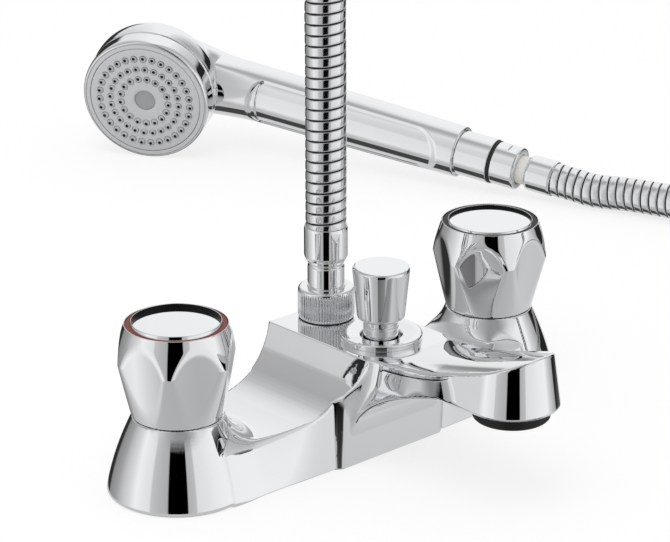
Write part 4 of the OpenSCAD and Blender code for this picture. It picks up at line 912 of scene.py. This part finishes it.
class MIXER_OT_casting(bpy.types.Operator):
    """The chromed casting: pillars, saddle bridge, block and spout in one skin"""

    bl_idname = "mixer.casting"
    bl_label = "Casting"

    def execute(self, context):
        sizes = context.scene.mixer_casting
        step = sizes.grid_step / MM
        low, high = box_mm("mixer_body")
        skin = level_surface(self.shape(sizes), low - 1.7 * step, high + 2.3 * step, step)
        dress(make_piece("casting", *skin), "mixer", "chrome", "mixer_body")
        return {"FINISHED"}

    def outlines(self, mm, half):
        """Curves of the casting, in millimetres: the top over x, the front of an arm over x, the spout's
        rise and its underside over -y, and a pillar's wall over z."""
        plate, saddle, edge = mm["plate_height"], mm["saddle_height"], mm["plate_half"]
        face = mm["arm_front"]
        foot = (edge + 26, saddle + 2)
        top = np.concatenate([
            [(0, plate), (edge - 0.01, plate)],
            bezier((edge, plate), (edge + 4.5, saddle + 5), foot, 40),
            bezier(foot, (61, saddle - 0.4), (half - 16, saddle + 0.7), 20)[1:],
            [(half + 10, saddle + 1.6)]])
        front = np.concatenate([
            [(0, face)], bezier((30.5, face), (half * 0.72, face), (half + 2, 25.4), 30)])
        rise = np.concatenate([
            [(-30, plate)], bezier((43.4, plate), (55.4, plate), (125, mm["tip_height"] + 1.6), 40)])
        under = np.concatenate([
            [(-30, 10), (31.3, 13.9)], bezier((31.4, 14), (36.4, 34), (79, mm["nose_height"]), 30),
            [(130, mm["nose_height"])]])
        wall = bezier((mm["pillar_foot"], 0), (27.3, 16.5), (mm["pillar_neck"], mm["pillar_height"]), 24)
        return top, front, rise, under, wall[:, ::-1]

    def shape(self, sizes):
        """The distance of the casting: arms, block and spout walls joined with fillets, cut off by a top
        that is the saddle across and the spout's crowned rise along, then joined to the pillars, less the
        sockets. The front of an arm takes on the flare of its pillar. Each wall is its height difference
        divided by the length of its slope."""
        mm = {key: getattr(sizes, key) / MM for key in CastingSizes.__annotations__}
        half = (centre_mm("cold_tail")[0] - centre_mm("hot_tail")[0]) / 2
        nose_y, diverter_y, outlet_y = (centre_mm(name)[1] for name in (
            "aerator_housing", "diverter_bonnet", "hose_nut"))
        top, front, rise, under, wall = (
            (line[:, 0], line[:, 1], np.gradient(line[:, 1], line[:, 0]))
            for line in self.outlines(mm, half))
        draft = mm["nose_draft"] / (mm["tip_height"] - mm["nose_height"])
        # Bow of the spout's top across it, and the way along -y over which it comes in
        crown_bow, crown_from, crown_run = 0.007, 45, 30
        # Way along x over which an arm's front takes on the pillar's wall, and how far inside it that stays
        flare_from, flare_run, flare_inset = 36, 48, 0.3
        # Leans of the block's face and flanks, and the heights at which they have their size
        face_lean, face_level, flank_lean, flank_level = 0.05, 8, 0.03, 20
        # How far short of the inlet's axis an arm ends, inside its pillar
        arm_short = 4
        # Edges: wall at the back, end of an arm, chamfer, flank, spout's underside, deck, pillar's foot and
        # top, sockets; and the top's edge, which gains roundness along x
        back_edge, arm_edge, chamfer_edge, flank_edge = 1.5, 1.0, 0.6, 0.5
        under_edge, deck_edge, foot_edge, neck_edge, socket_edge = 1.6, 0.6, 2.5, 0.35, 0.3
        lid_edge, lid_gain, lid_from, lid_run = 1.0, 2.7, 42, 28
        # Fillets: arms to block; spout, which gains with height; pillar, which gains towards the middle
        block_fillet = 0.9
        spout_fillet, spout_gain, spout_from, spout_run = 2, 11, 20, 20
        pillar_fillet, pillar_gain, pillar_reach = 0.8, 6.7, 1.3
        # Sockets on a pillar's axis: gasket, tail, seat and valve chamber. Then the diverter's plug and
        # chamber, the outlet's nipple and the aerator. Radius, and the height where it ends
        gasket, tail, seat_r, chamber = (22.5, 2), (13.3, 9), 6.2, (11.2, 12)
        plug, barrel, nipple, aerator = (11.5, 43.4), (9, 26), (8.2, 41), (12.15, 53.5)

        def curve(at, line):
            return np.interp(at, line[0], line[1]), np.interp(at, line[0], line[2])

        def distance(p):
            x, y, z = np.abs(p[:, 0]), p[:, 1], p[:, 2]
            t, ts = curve(x, top)
            r, rs = curve(-y, rise)
            crown = crown_bow * smooth((-y - crown_from) / crown_run)
            lid = z - t - np.maximum(r - mm["plate_height"], 0) + crown * x ** 2
            lid = lid / np.sqrt(1 + (ts - 2 * crown * x) ** 2 + rs ** 2)
            f, fs = curve(x, front)
            behind = y - mm["bridge_back"]
            w, ws = curve(z, wall)
            near = smooth((x - flare_from) / flare_run)
            ahead = -y - f * (1 - near) - (w - flare_inset) * near
            ahead = ahead / np.sqrt(1 + fs ** 2 + (near * ws) ** 2)
            arms = round_common(round_common(ahead, behind, back_edge), x - half + arm_short, arm_edge)
            leant = face_lean * (z - face_level)
            face = (-y - mm["block_front"] - leant) / math.hypot(1, face_lean)
            flank = (x - mm["block_half"] - flank_lean * (z - flank_level)) / math.hypot(1, flank_lean)
            corner = (x - y - mm["block_half"] - mm["block_front"] + mm["corner"] - leant) / math.hypot(1, 1)
            block = round_common(round_common(face, corner, chamfer_edge), behind, back_edge)
            block = round_common(block, flank, flank_edge)
            aside = np.hypot(x, y - np.clip(y, nose_y, diverter_y))
            widen = np.clip((y - nose_y) / (diverter_y - nose_y), 0, 1)
            side = aside - mm["nose_radius"] - widen + draft * (z - mm["nose_height"])
            u, us = curve(-y, under)
            spout = round_common(side / math.hypot(1, draft), (u - z) / np.sqrt(1 + us ** 2), under_edge)
            low = round_union(arms, block, block_fillet)
            low = round_union(low, spout, spout_fillet + spout_gain * smooth((z - spout_from) / spout_run))
            low = round_common(low, -z, deck_edge)
            upper = round_common(low, lid, lid_edge + lid_gain * np.clip((x - lid_from) / lid_run, 0, 1))
            around = np.hypot(x - half, y)
            pillar = round_common((around - w) / np.sqrt(1 + ws ** 2), -z, foot_edge)
            pillar = round_common(pillar, z - mm["pillar_height"], neck_edge)
            inward = smooth(pillar_reach * (half - x) / np.maximum(around, 1))
            whole = round_union(upper, pillar, pillar_fillet + pillar_gain * inward)
            at_diverter = np.hypot(x, y - diverter_y)
            sockets = np.minimum.reduce([
                np.maximum(around - gasket[0], z - gasket[1]), np.maximum(around - tail[0], z - tail[1]),
                around - seat_r, np.maximum(around - chamber[0], chamber[1] - z),
                np.maximum(at_diverter - plug[0], plug[1] - z),
                np.maximum(at_diverter - barrel[0], barrel[1] - z),
                np.maximum(np.hypot(x, y - outlet_y) - nipple[0], nipple[1] - z),
                np.maximum(np.hypot(x, y - nose_y) - aerator[0], z - aerator[1])])
            return round_common(whole, -sockets, socket_edge)

        return distance


class MIXER_OT_handles(bpy.types.Operator):
    """The two barrel handles with six hollow flats, their rings and caps"""

    bl_idname = "mixer.handles"
    bl_label = "Handles"

    def execute(self, context):
        sizes = context.scene.mixer_handles
        for side, turn, lip, colour_slot in (("hot", sizes.hot_turn, sizes.hot_lip / MM, "red_plastic"),
                                             ("cold", sizes.cold_turn, sizes.cold_lip / MM, "dark_plastic")):
            x, y, _ = centre_mm(side + "_knob_screw")
            place, body = (x, y, 0), side + "_handle"
            self.barrel(sizes, side, turn, place)
            rim = box_mm(side + "_knob")[1][2]
            low = box_mm(side + "_index_ring")[0][2]
            ring = rounded([(18.4, low), (20.85, low), (20.85, rim - 0.35), (18.4, rim - 0.35)], 0.25)
            piece = turned_piece(side + "_ring", ring, place, sides=160)
            dress(piece, body, colour_slot, side + "_index_ring")
            low, dish = box_mm(side + "_index_cap")[0][2] + 2, rim - 0.75
            top = dish + lip
            cap = rounded([(0, low), (15.0, low), (18.2, low), (18.95, rim - 0.6), (18.55, top - 0.2),
                           (18.38, top), (18.2, top - 0.15), (18.2, dish), (0, dish)],
                          (0, 0.2, 0.2, 0.1, 0.1, 0.1, 0.1, 0.05, 0), closed=False)
            piece = turned_piece(side + "_cap", cap, place, sides=160, closed=False)
            dress(piece, body, "chrome", side + "_index_cap")
            # Painted shade: a thin dark ring that stands for the shadow in the gap inside the cap's lip,
            # where the dish meets it
            painted_gap_shade = rounded([(17.75, dish - 0.2), (18.3, dish - 0.2), (18.3, top - 0.22), (18.1, top - 0.22),
                            (17.85, dish + 0.02)], 0.05)
            dress(turned_piece(side + "_seam", painted_gap_shade, place, sides=160), body, "dark_plastic")
        return {"FINISHED"}

    def barrel(self, sizes, side, turn, origin):
        """Radius at angle a and height z: the lesser of the barrel's profile and of the hollow of the
        nearest flat, D cos b - sqrt(R^2 - D^2 sin^2 b) with b the angle from the flat's middle and D the
        distance of the hollow's centre, joined by a soft minimum. Below and above it the wall goes on into
        the bore and the rim's pocket."""
        low, high = (corner[2] for corner in box_mm(side + "_knob"))
        # Heights of the widest place, of the bore's end and of the pocket's floor under the rim
        middle, bore_end, pocket = low + 24.2, low + 26, high - 8.0
        foot, widest, rim, soft = (size / MM for size in (sizes.foot, sizes.widest, sizes.rim, sizes.edge))
        bore = np.concatenate([
            [(4.2, bore_end), (15.6, bore_end), (16.0, bore_end - 0.4), (16.0, low + 0.4)],
            bezier((16.05, low + 0.3), (16.1, low), (16.5, low), 3)])
        shoulder = bezier((foot - 0.6, low), (foot, low), (foot + 0.15, low + 0.5), 6)
        lower = np.linspace((foot + 0.2, low + 0.6), (widest, middle), 56)[:-1]
        upper = bezier((widest, middle), (widest - 1, middle + 7), (rim, high - 0.5), 40)
        lip = bezier((rim, high - 0.5), (rim - 0.02, high - 0.02), (rim - 0.2, high), 6)[1:]
        profile = np.concatenate([
            bore, shoulder, lower, upper, lip,
            bezier((21.12, high), (20.96, high - 0.01), (20.95, high - 0.2), 4),
            [(20.95, high - 2.4), (20.75, high - 2.5), (16.7, high - 2.5), (16.6, high - 2.7),
             (16.6, pocket + 0.1), (16.4, pocket), (4.2, pocket), (4.0, pocket - 0.2),
             (4.0, bore_end + 0.2)]])
        points = revolve(profile, sizes.sides)
        around = np.arange(sizes.sides) * (2 * np.pi / sizes.sides) - turn - np.pi / 6
        off = around - np.round(around / (np.pi / 3)) * (np.pi / 3)
        reach = sizes.hollow / MM + sizes.flat / MM + math.tan(sizes.lean) * (profile[:, 1:] - middle)
        hollow = reach * np.cos(off) - np.sqrt((sizes.hollow / MM) ** 2 - (reach * np.sin(off)) ** 2)
        r = profile[:, :1]
        blend = np.maximum(soft - np.abs(r - hollow), 0) / soft
        cut = np.minimum(r, hollow) - blend ** 2 * soft / 4
        first = len(bore) + 1
        skin = slice(first, first + len(shoulder) - 2 + len(lower) + len(upper) + len(lip))
        scale = np.ones_like(cut)
        scale[skin] = (cut / r)[skin]
        points[..., :2] *= scale[..., None]
        points = placed(points, origin, np.eye(3))
        piece = make_piece(side + "_handle_barrel", points, grid_quads(len(profile), sizes.sides, True))
        dress(piece, side + "_handle", "chrome", side + "_knob")


class MIXER_OT_diverter(bpy.types.Operator):
    """The diverter's flange and lift knob"""

    bl_idname = "mixer.diverter"
    bl_label = "Diverter"

    def execute(self, context):
        x, y, _ = centre_mm("diverter_bonnet")
        low, top = (corner[2] for corner in box_mm("diverter_bonnet"))
        plate = context.scene.mixer_casting.plate_height / MM
        flange = rounded([(3.26, low), (11.4, low), (11.4, plate), (17.4, plate), (17.4, top - 0.5),
                          (16.9, top), (15.0, top), (9.1, top - 1.0), (8.5, top - 1.6), (8.5, low + 2.4),
                          (3.26, low + 2.4)], (0.1, 0.3, 0.2, 0.2, 0.3, 0.3, 0.6, 0.4, 0.4, 0.4, 0.1))
        piece = turned_piece("diverter_flange", flange, (x, y, 0), sides=160)
        dress(piece, "mixer", "chrome", "diverter_bonnet")
        low, top = (corner[2] for corner in box_mm("diverter_knob"))
        foot = top - 22.9
        neck = rounded([(0, low), (7.4, low), (7.4, foot - 3.7), (7.1, foot - 3.4), (7.1, foot - 3.0),
                        (7.4, foot - 2.7), (7.4, foot), (8.6, foot)],
                       (0, 0.3, 0.1, 0.1, 0.1, 0.1, 0.15, 0), closed=False)
        knob = np.concatenate([
            neck, bezier((8.7, foot), (10.0, foot + 0.1), (10.12, foot + 1.9), 8),
            np.linspace((10.15, foot + 2.4), (12.0, top - 1.8), 12),
            bezier((12.02, top - 1.5), (12.05, top - 0.1), (10.6, top), 8),
            [(7.0, top + 0.02), (0, top + 0.03)]])
        piece = turned_piece("lift_knob", knob, (x, y, 0), sides=128, closed=False)
        dress(piece, "diverter", "chrome", "diverter_knob")
        return {"FINISHED"}


class MIXER_OT_aerator(bpy.types.Operator):
    """The black aerator ring under the nose"""

    bl_idname = "mixer.aerator"
    bl_label = "Aerator"

    def execute(self, context):
        x, y, _ = centre_mm("aerator_housing")
        low, high = (corner[2] for corner in box_mm("aerator_housing"))
        nose = context.scene.mixer_casting.nose_height / MM
        profile = rounded([(9.4, low - 1.1), (14.9, low - 1.1), (15.8, low - 0.2), (15.8, nose),
                           (12.1, nose), (12.1, high), (10.4, high), (10.4, low + 1), (9.4, low + 1)], 0.3)
        piece = turned_piece("aerator_ring", profile, (x, y, 0), sides=128)
        dress(piece, "mixer", "black_plastic", "aerator_housing")
        return {"FINISHED"}


class MIXER_OT_hand_shower(bpy.types.Operator):
    """The hand shower's handle, neck and head, its sleeve and bezel"""

    bl_idname = "mixer.hand_shower"
    bl_label = "Hand shower"

    def execute(self, context):
        sizes = context.scene.mixer_shower
        origin, axes = face_frame()
        low, high = (-37.3, -37.3, -53.3), (68, 37, 12)
        points, quads, normals = level_surface(self.shape(sizes), low, high, sizes.grid_step / MM)
        piece = make_piece("hand_shower", placed(points, origin, axes), quads, normals @ axes.T)
        dress(piece, "handset", "chrome", "handset_body")
        self.grip()
        sleeve = rounded([(5.5, -12), (8.9, -12), (8.9, 0.05), (11.8, 0.05), (11.8, 18.5), (10.5, 18.5),
                          (10.4, 21), (5.5, 21)], (0.2, 0.3, 0.1, 0.4, 0.4, 0.1, 0.2, 0.2))
        piece = turned_piece("sleeve", sleeve, *grip_frame(SLEEVE_AT), sides=128)
        dress(piece, "handset", "chrome", "handset_sleeve")
        bezel = np.concatenate([
            [(26.45, -7.45), (33.0, -7.45)], bezier((33.4, -7.4), (34.6, -7.3), (34.7, -6.2), 5),
            [(34.7, -4.0), (34.7, 0.4)], bezier((34.7, 0.6), (34.65, 3.9), (33.1, 4.1), 14),
            [(32.95, 4.0), (32.9, 3.7), (32.9, 2.1), (26.45, 2.05)]])
        dress(turned_piece("bezel", bezel, origin, axes, sides=160), "handset", "chrome", "handset_bezel")
        return {"FINISHED"}

    def grip(self):
        """The handle as a grid over station s and the angle a from its spray side: the round of the handle
        less a pressed panel. With e = 1 - |(t, a / half)|, where t is how far s runs into one of the
        panel's round ends, the press is the smooth step of e over the width of the panel's wall. The normal
        is the outward direction less the slopes of the radius along and around."""
        # The panel: depth, half width, straight part and length of each round end; width of its wall along
        # the sides, and what it gains at each end
        deep, half, panel_from, panel_to, near_end, far_end = 1.1, math.radians(60), 64.5, 156, 7.5, 15
        wall, near_wall, far_wall = 0.09, 0.65, 0.25
        # Round of the lower edge, radius of the bore, and where the skin starts inside the neck
        edge, bore, start = 0.7, 9.0, GRIP_AT - 0.5
        rest = SLEEVE_AT - edge

        def skin(s, a):
            r, middle = grip_round(s)
            left, right = np.maximum(panel_from - s, 0) / near_end, np.maximum(s - panel_to, 0) / far_end
            run = np.hypot(left + right, a / half)
            wide = wall + (near_wall * left + far_wall * right) / np.maximum(run, 1e-6)
            return r - deep * smooth((1 - run) / wide), middle + 0 * a

        s = np.concatenate([np.arange(GRIP_AT, 67, 0.35), np.arange(67, 152, 2.5), np.arange(152, 172, 0.35),
                            np.linspace(172, rest, 10)])
        a = np.radians(np.concatenate([np.arange(-70, 70, 1.2), np.arange(70, 290, 2.5)]))
        column, eps = s[:, None], 0.02
        turn_eps = eps / 15
        r, middle = skin(column, a)
        around = (skin(column, a + turn_eps)[0] - skin(column, a - turn_eps)[0]) / (2 * turn_eps) / r
        (r_on, middle_on), (r_off, middle_off) = skin(column + eps, a), skin(column - eps, a)
        on = (r_on - r_off + (middle_on - middle_off) * np.cos(a)) / (2 * eps)
        turn = np.linspace(0, np.pi / 2, 6)[:, None]
        one = np.ones_like(r[:1])
        inner, none = bore * one, 0 * one
        radius = np.concatenate([inner, r[:1] - 0.1, r, r[-1:] - edge * (1 - np.cos(turn)), inner + 0.1,
                                 inner, inner])
        station = np.concatenate([[start, start], s, rest + edge * np.sin(turn[:, 0]),
                                  [SLEEVE_AT, SLEEVE_AT - 0.1, start + 0.1]])
        shift = np.concatenate([middle[:1], middle[:1], middle, np.repeat(middle[-1:], 9, 0)])
        outward = np.concatenate([none, one, one + 0 * r, np.cos(turn) * one, none, -one, -one])
        sideways = np.concatenate([none, around[:1], around, np.repeat(none, 9, 0)])
        forward = np.concatenate([-one, -on[:1], -on, np.sin(turn) * one, one, none, none])
        cos, sin = np.cos(a), np.sin(a)
        points = np.stack([radius * cos + shift, radius * sin, station[:, None] + 0 * radius], -1)
        normals = np.stack([outward * cos + sideways * sin, outward * sin - sideways * cos, forward], -1)
        normals /= np.linalg.norm(normals, axis=-1, keepdims=True)
        origin, along = grip_frame(0)[0], grip_frame(0)[1][:, 2]
        beside = -face_frame()[1][:, 1]
        turned = np.stack([np.cross(beside, along), beside, along], 1)
        quads = grid_quads(len(station), len(a), True)
        piece = make_piece("handle", placed(points, origin, turned), quads, normals @ turned.T)
        dress(piece, "handset", "chrome")

    def shape(self, sizes):
        """The distance of the hollow head joined to the neck, which sinks under the drawn handle, by a
        fillet that is broad at the sides and back and small on the spray side."""
        head, depth = sizes.head / MM, sizes.depth / MM
        top, back = sizes.grip_top / MM, sizes.set_back / MM
        cos, sin = math.cos(sizes.tilt), math.sin(sizes.tilt)
        # Depth of the shell's rim behind the face, and the hollow's radius and depth
        rim, hollow_r, hollow_depth = 7.6, 24.4, 27
        # Fillet between head and neck: on the spray side, and what it gains at the back
        fillet, fillet_gain = 0.5, 13.5
        # How deep the neck sinks under the handle and over which length, how far it goes on there, and the
        # station where it starts inside the head
        sink, sink_run, tongue, neck_start = 0.4, 4, 7, 10
        dome = np.concatenate([
            [(0, -rim), (head - 0.9, -rim)], bezier((head - 0.5, -7.7), (head, -7.9), (head, -9), 3)[1:],
            bezier((head, -9), (head + 3.5, -depth + 4), (top, -depth), 24)[1:], [(0, -depth - 0.3)]])[::-1]

        def distance(p):
            u, v, w = p.T
            rho = np.hypot(u, v)
            bowl = outline_distance(rho, w, dome)
            s = u * cos + (w + back) * sin
            q = -u * sin + (w + back) * cos
            r, middle = grip_round(s)
            off = np.hypot(q - middle, v)
            neck = off - r + sink * np.clip((s - GRIP_AT) / sink_run, 0, 1) ** 2
            neck = round_common(round_common(neck, s - GRIP_AT - tongue, 0.7), neck_start - s, 6)
            lean = (q - middle) / np.maximum(off, 1e-6)
            whole = round_union(bowl, neck, fillet + fillet_gain * smooth((0.5 - lean) / 0.95))
            whole = round_common(whole, np.minimum(head + 0.3 - rho, w + rim), 0.5)
            hollow = np.maximum(rho - hollow_r, -hollow_depth - w)
            return round_common(whole, -hollow, 0.3)

        return distance


class MIXER_OT_spray_face(bpy.types.Operator):
    """The spray plate, its nozzles and its centre disc"""

    bl_idname = "mixer.spray_face"
    bl_label = "Spray face"

    def execute(self, context):
        place = face_frame()
        plate = rounded([(5.7, 2.1), (30.3, 2.1), (30.3, 3.9), (29.6, 4.35), (24, 4.75), (16, 5.0),
                         (9.5, 5.05), (6.6, 5.0), (5.7, 4.3)], (0.1, 0.1, 0.3, 0.5, 2, 2, 1, 0.5, 0.3))
        piece = turned_piece("spray_plate_crowned", plate, *place, sides=160)
        dress(piece, "handset", "grey_plastic", "spray_plate")
        ring = rounded([(30.5, 2.2), (32.8, 2.2), (32.8, 3.85), (32.5, 4.1), (30.8, 4.3), (30.5, 4.1)], 0.2)
        dress(turned_piece("face_ring", ring, *place, sides=160), "handset", "grey_plastic")
        self.nozzles(*place)
        disc = rounded([(0, 3.0), (5.65, 3.0), (5.65, 3.75), (5.3, 3.9), (0, 3.95)], (0, 0.1, 0.2, 0.3, 0),
                       closed=False)
        piece = turned_piece("centre_disc", disc, *place, sides=64, closed=False)
        # The centre disc gets a darker grey as painted shade of its recess
        dress(piece, "handset", "grey_plastic", "spray_disc", look="disc_grey")
        return {"FINISHED"}

    def nozzles(self, origin, axes):
        """One small turned nozzle with a gap round it that is darkened as painted shade, repeated round
        three rings by adding each place to its points; the places sink with the square of their distance
        from the centre, the tips lean outwards, and each has its opening painted black as shade."""
        # Radius and number of nozzles of each ring, steps round a nozzle, sink and lean of a tip
        rings, sides, sink, tip_lean = ((24.8, 31), (18.6, 24), (13.0, 17)), 12, 0.00055, 0.4
        profile = np.array([(1.98, 4.9), (1.96, 5.14), (1.74, 5.15), (1.66, 5.2), (1.58, 5.5), (1.3, 5.75),
                            (0.95, 5.8), (0.84, 5.74), (0.8, 5.4), (0.0, 5.35)])
        # Painted shade at each profile point: 0.6 to 0.8 darkens the gap at the foot, 1 blackens the opening
        # at the tip
        gap_and_hole_shade = np.array([0.6, 0.8, 0.8, 0, 0, 0, 0, 1, 1, 1])
        one = revolve(profile, sides).reshape(-1, 3)
        radius = np.concatenate([np.full(count, r) for r, count in rings])
        turn = np.concatenate([np.arange(count) * 2 * np.pi / count for _, count in rings])
        outward = np.stack([np.cos(turn), np.sin(turn), 0 * turn], -1)
        spots = radius[:, None] * outward
        spots[:, 2] -= sink * radius ** 2
        lean = np.repeat(tip_lean * np.clip(profile[:, 1] - 5.2, 0, 0.5) / 0.5, sides)
        points = (one + spots[:, None] + lean[None, :, None] * outward[:, None]).reshape(-1, 3)
        starts = np.arange(len(spots)) * len(one)
        quads = (grid_quads(len(profile), sides) + starts[:, None, None]).reshape(-1, 4)
        numbers = np.tile(np.repeat(gap_and_hole_shade, sides), len(spots))
        # The number open carries the painted shade of gap and opening to the material
        piece = make_piece("nozzles", placed(points, origin, axes), quads, values={"open": numbers})
        dress(piece, "handset", "grey_rubber", "nozzle_mat")


class MIXER_OT_hidden_parts(bpy.types.Operator):
    """Finishes of the parts that keep their CAD shape"""

    bl_idname = "mixer.hidden_parts"
    bl_label = "Parts inside and under the deck"

    def execute(self, context):
        slots = {
            "brass": ("hot_tail", "cold_tail", "back_nuts", "hot_bonnet", "cold_bonnet", "hot_spindle",
                      "cold_spindle", "hot_jumper", "cold_jumper", "diverter_stem", "outlet_nipple"),
            "black_rubber": ("deck_washers", "base_gaskets", "hot_spindle_seals", "cold_spindle_seals",
                             "hot_tap_washer", "cold_tap_washer", "diverter_seals", "aerator_washer",
                             "hose_washer", "swivel_washer"),
            "red_fibre": ("bonnet_washers",),
            "steel": ("hot_circlip", "cold_circlip", "hot_knob_screw", "cold_knob_screw"),
            "white_plastic": ("diverter_piston", "aerator_insert"),
        }
        for slot, names in slots.items():
            for name in names:
                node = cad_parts[name]
                node.data.materials.clear()
                node.data.materials.append(finish(slot))
        return {"FINISHED"}


OPERATORS = (
    MIXER_OT_stage, MIXER_OT_hose, MIXER_OT_hose_ends, MIXER_OT_casting, MIXER_OT_handles, MIXER_OT_diverter,
    MIXER_OT_aerator, MIXER_OT_hand_shower, MIXER_OT_spray_face, MIXER_OT_hidden_parts,
)


class MIXER_PT_panel(bpy.types.Panel):
    """Lists the makers of the mixer's pieces"""

    bl_idname = "MIXER_PT_panel"
    bl_label = "Bath shower mixer"
    bl_space_type = "VIEW_3D"
    bl_region_type = "UI"
    bl_category = "Mixer"

    def draw(self, context):
        for operator in OPERATORS:
            self.layout.operator(operator.bl_idname)


CLASSES = tuple(GROUPS.values()) + OPERATORS + (MIXER_PT_panel,)


def register():
    for item in CLASSES:
        bpy.utils.register_class(item)
    for name, group in GROUPS.items():
        setattr(bpy.types.Scene, name, PointerProperty(type=group))


def unregister():
    for name in GROUPS:
        delattr(bpy.types.Scene, name)
    for item in reversed(CLASSES):
        bpy.utils.unregister_class(item)


def main():
    register()
    for operator in OPERATORS:
        family, name = operator.bl_idname.split(".")
        getattr(getattr(bpy.ops, family), name)()


if __name__ == "__main__":
    main()
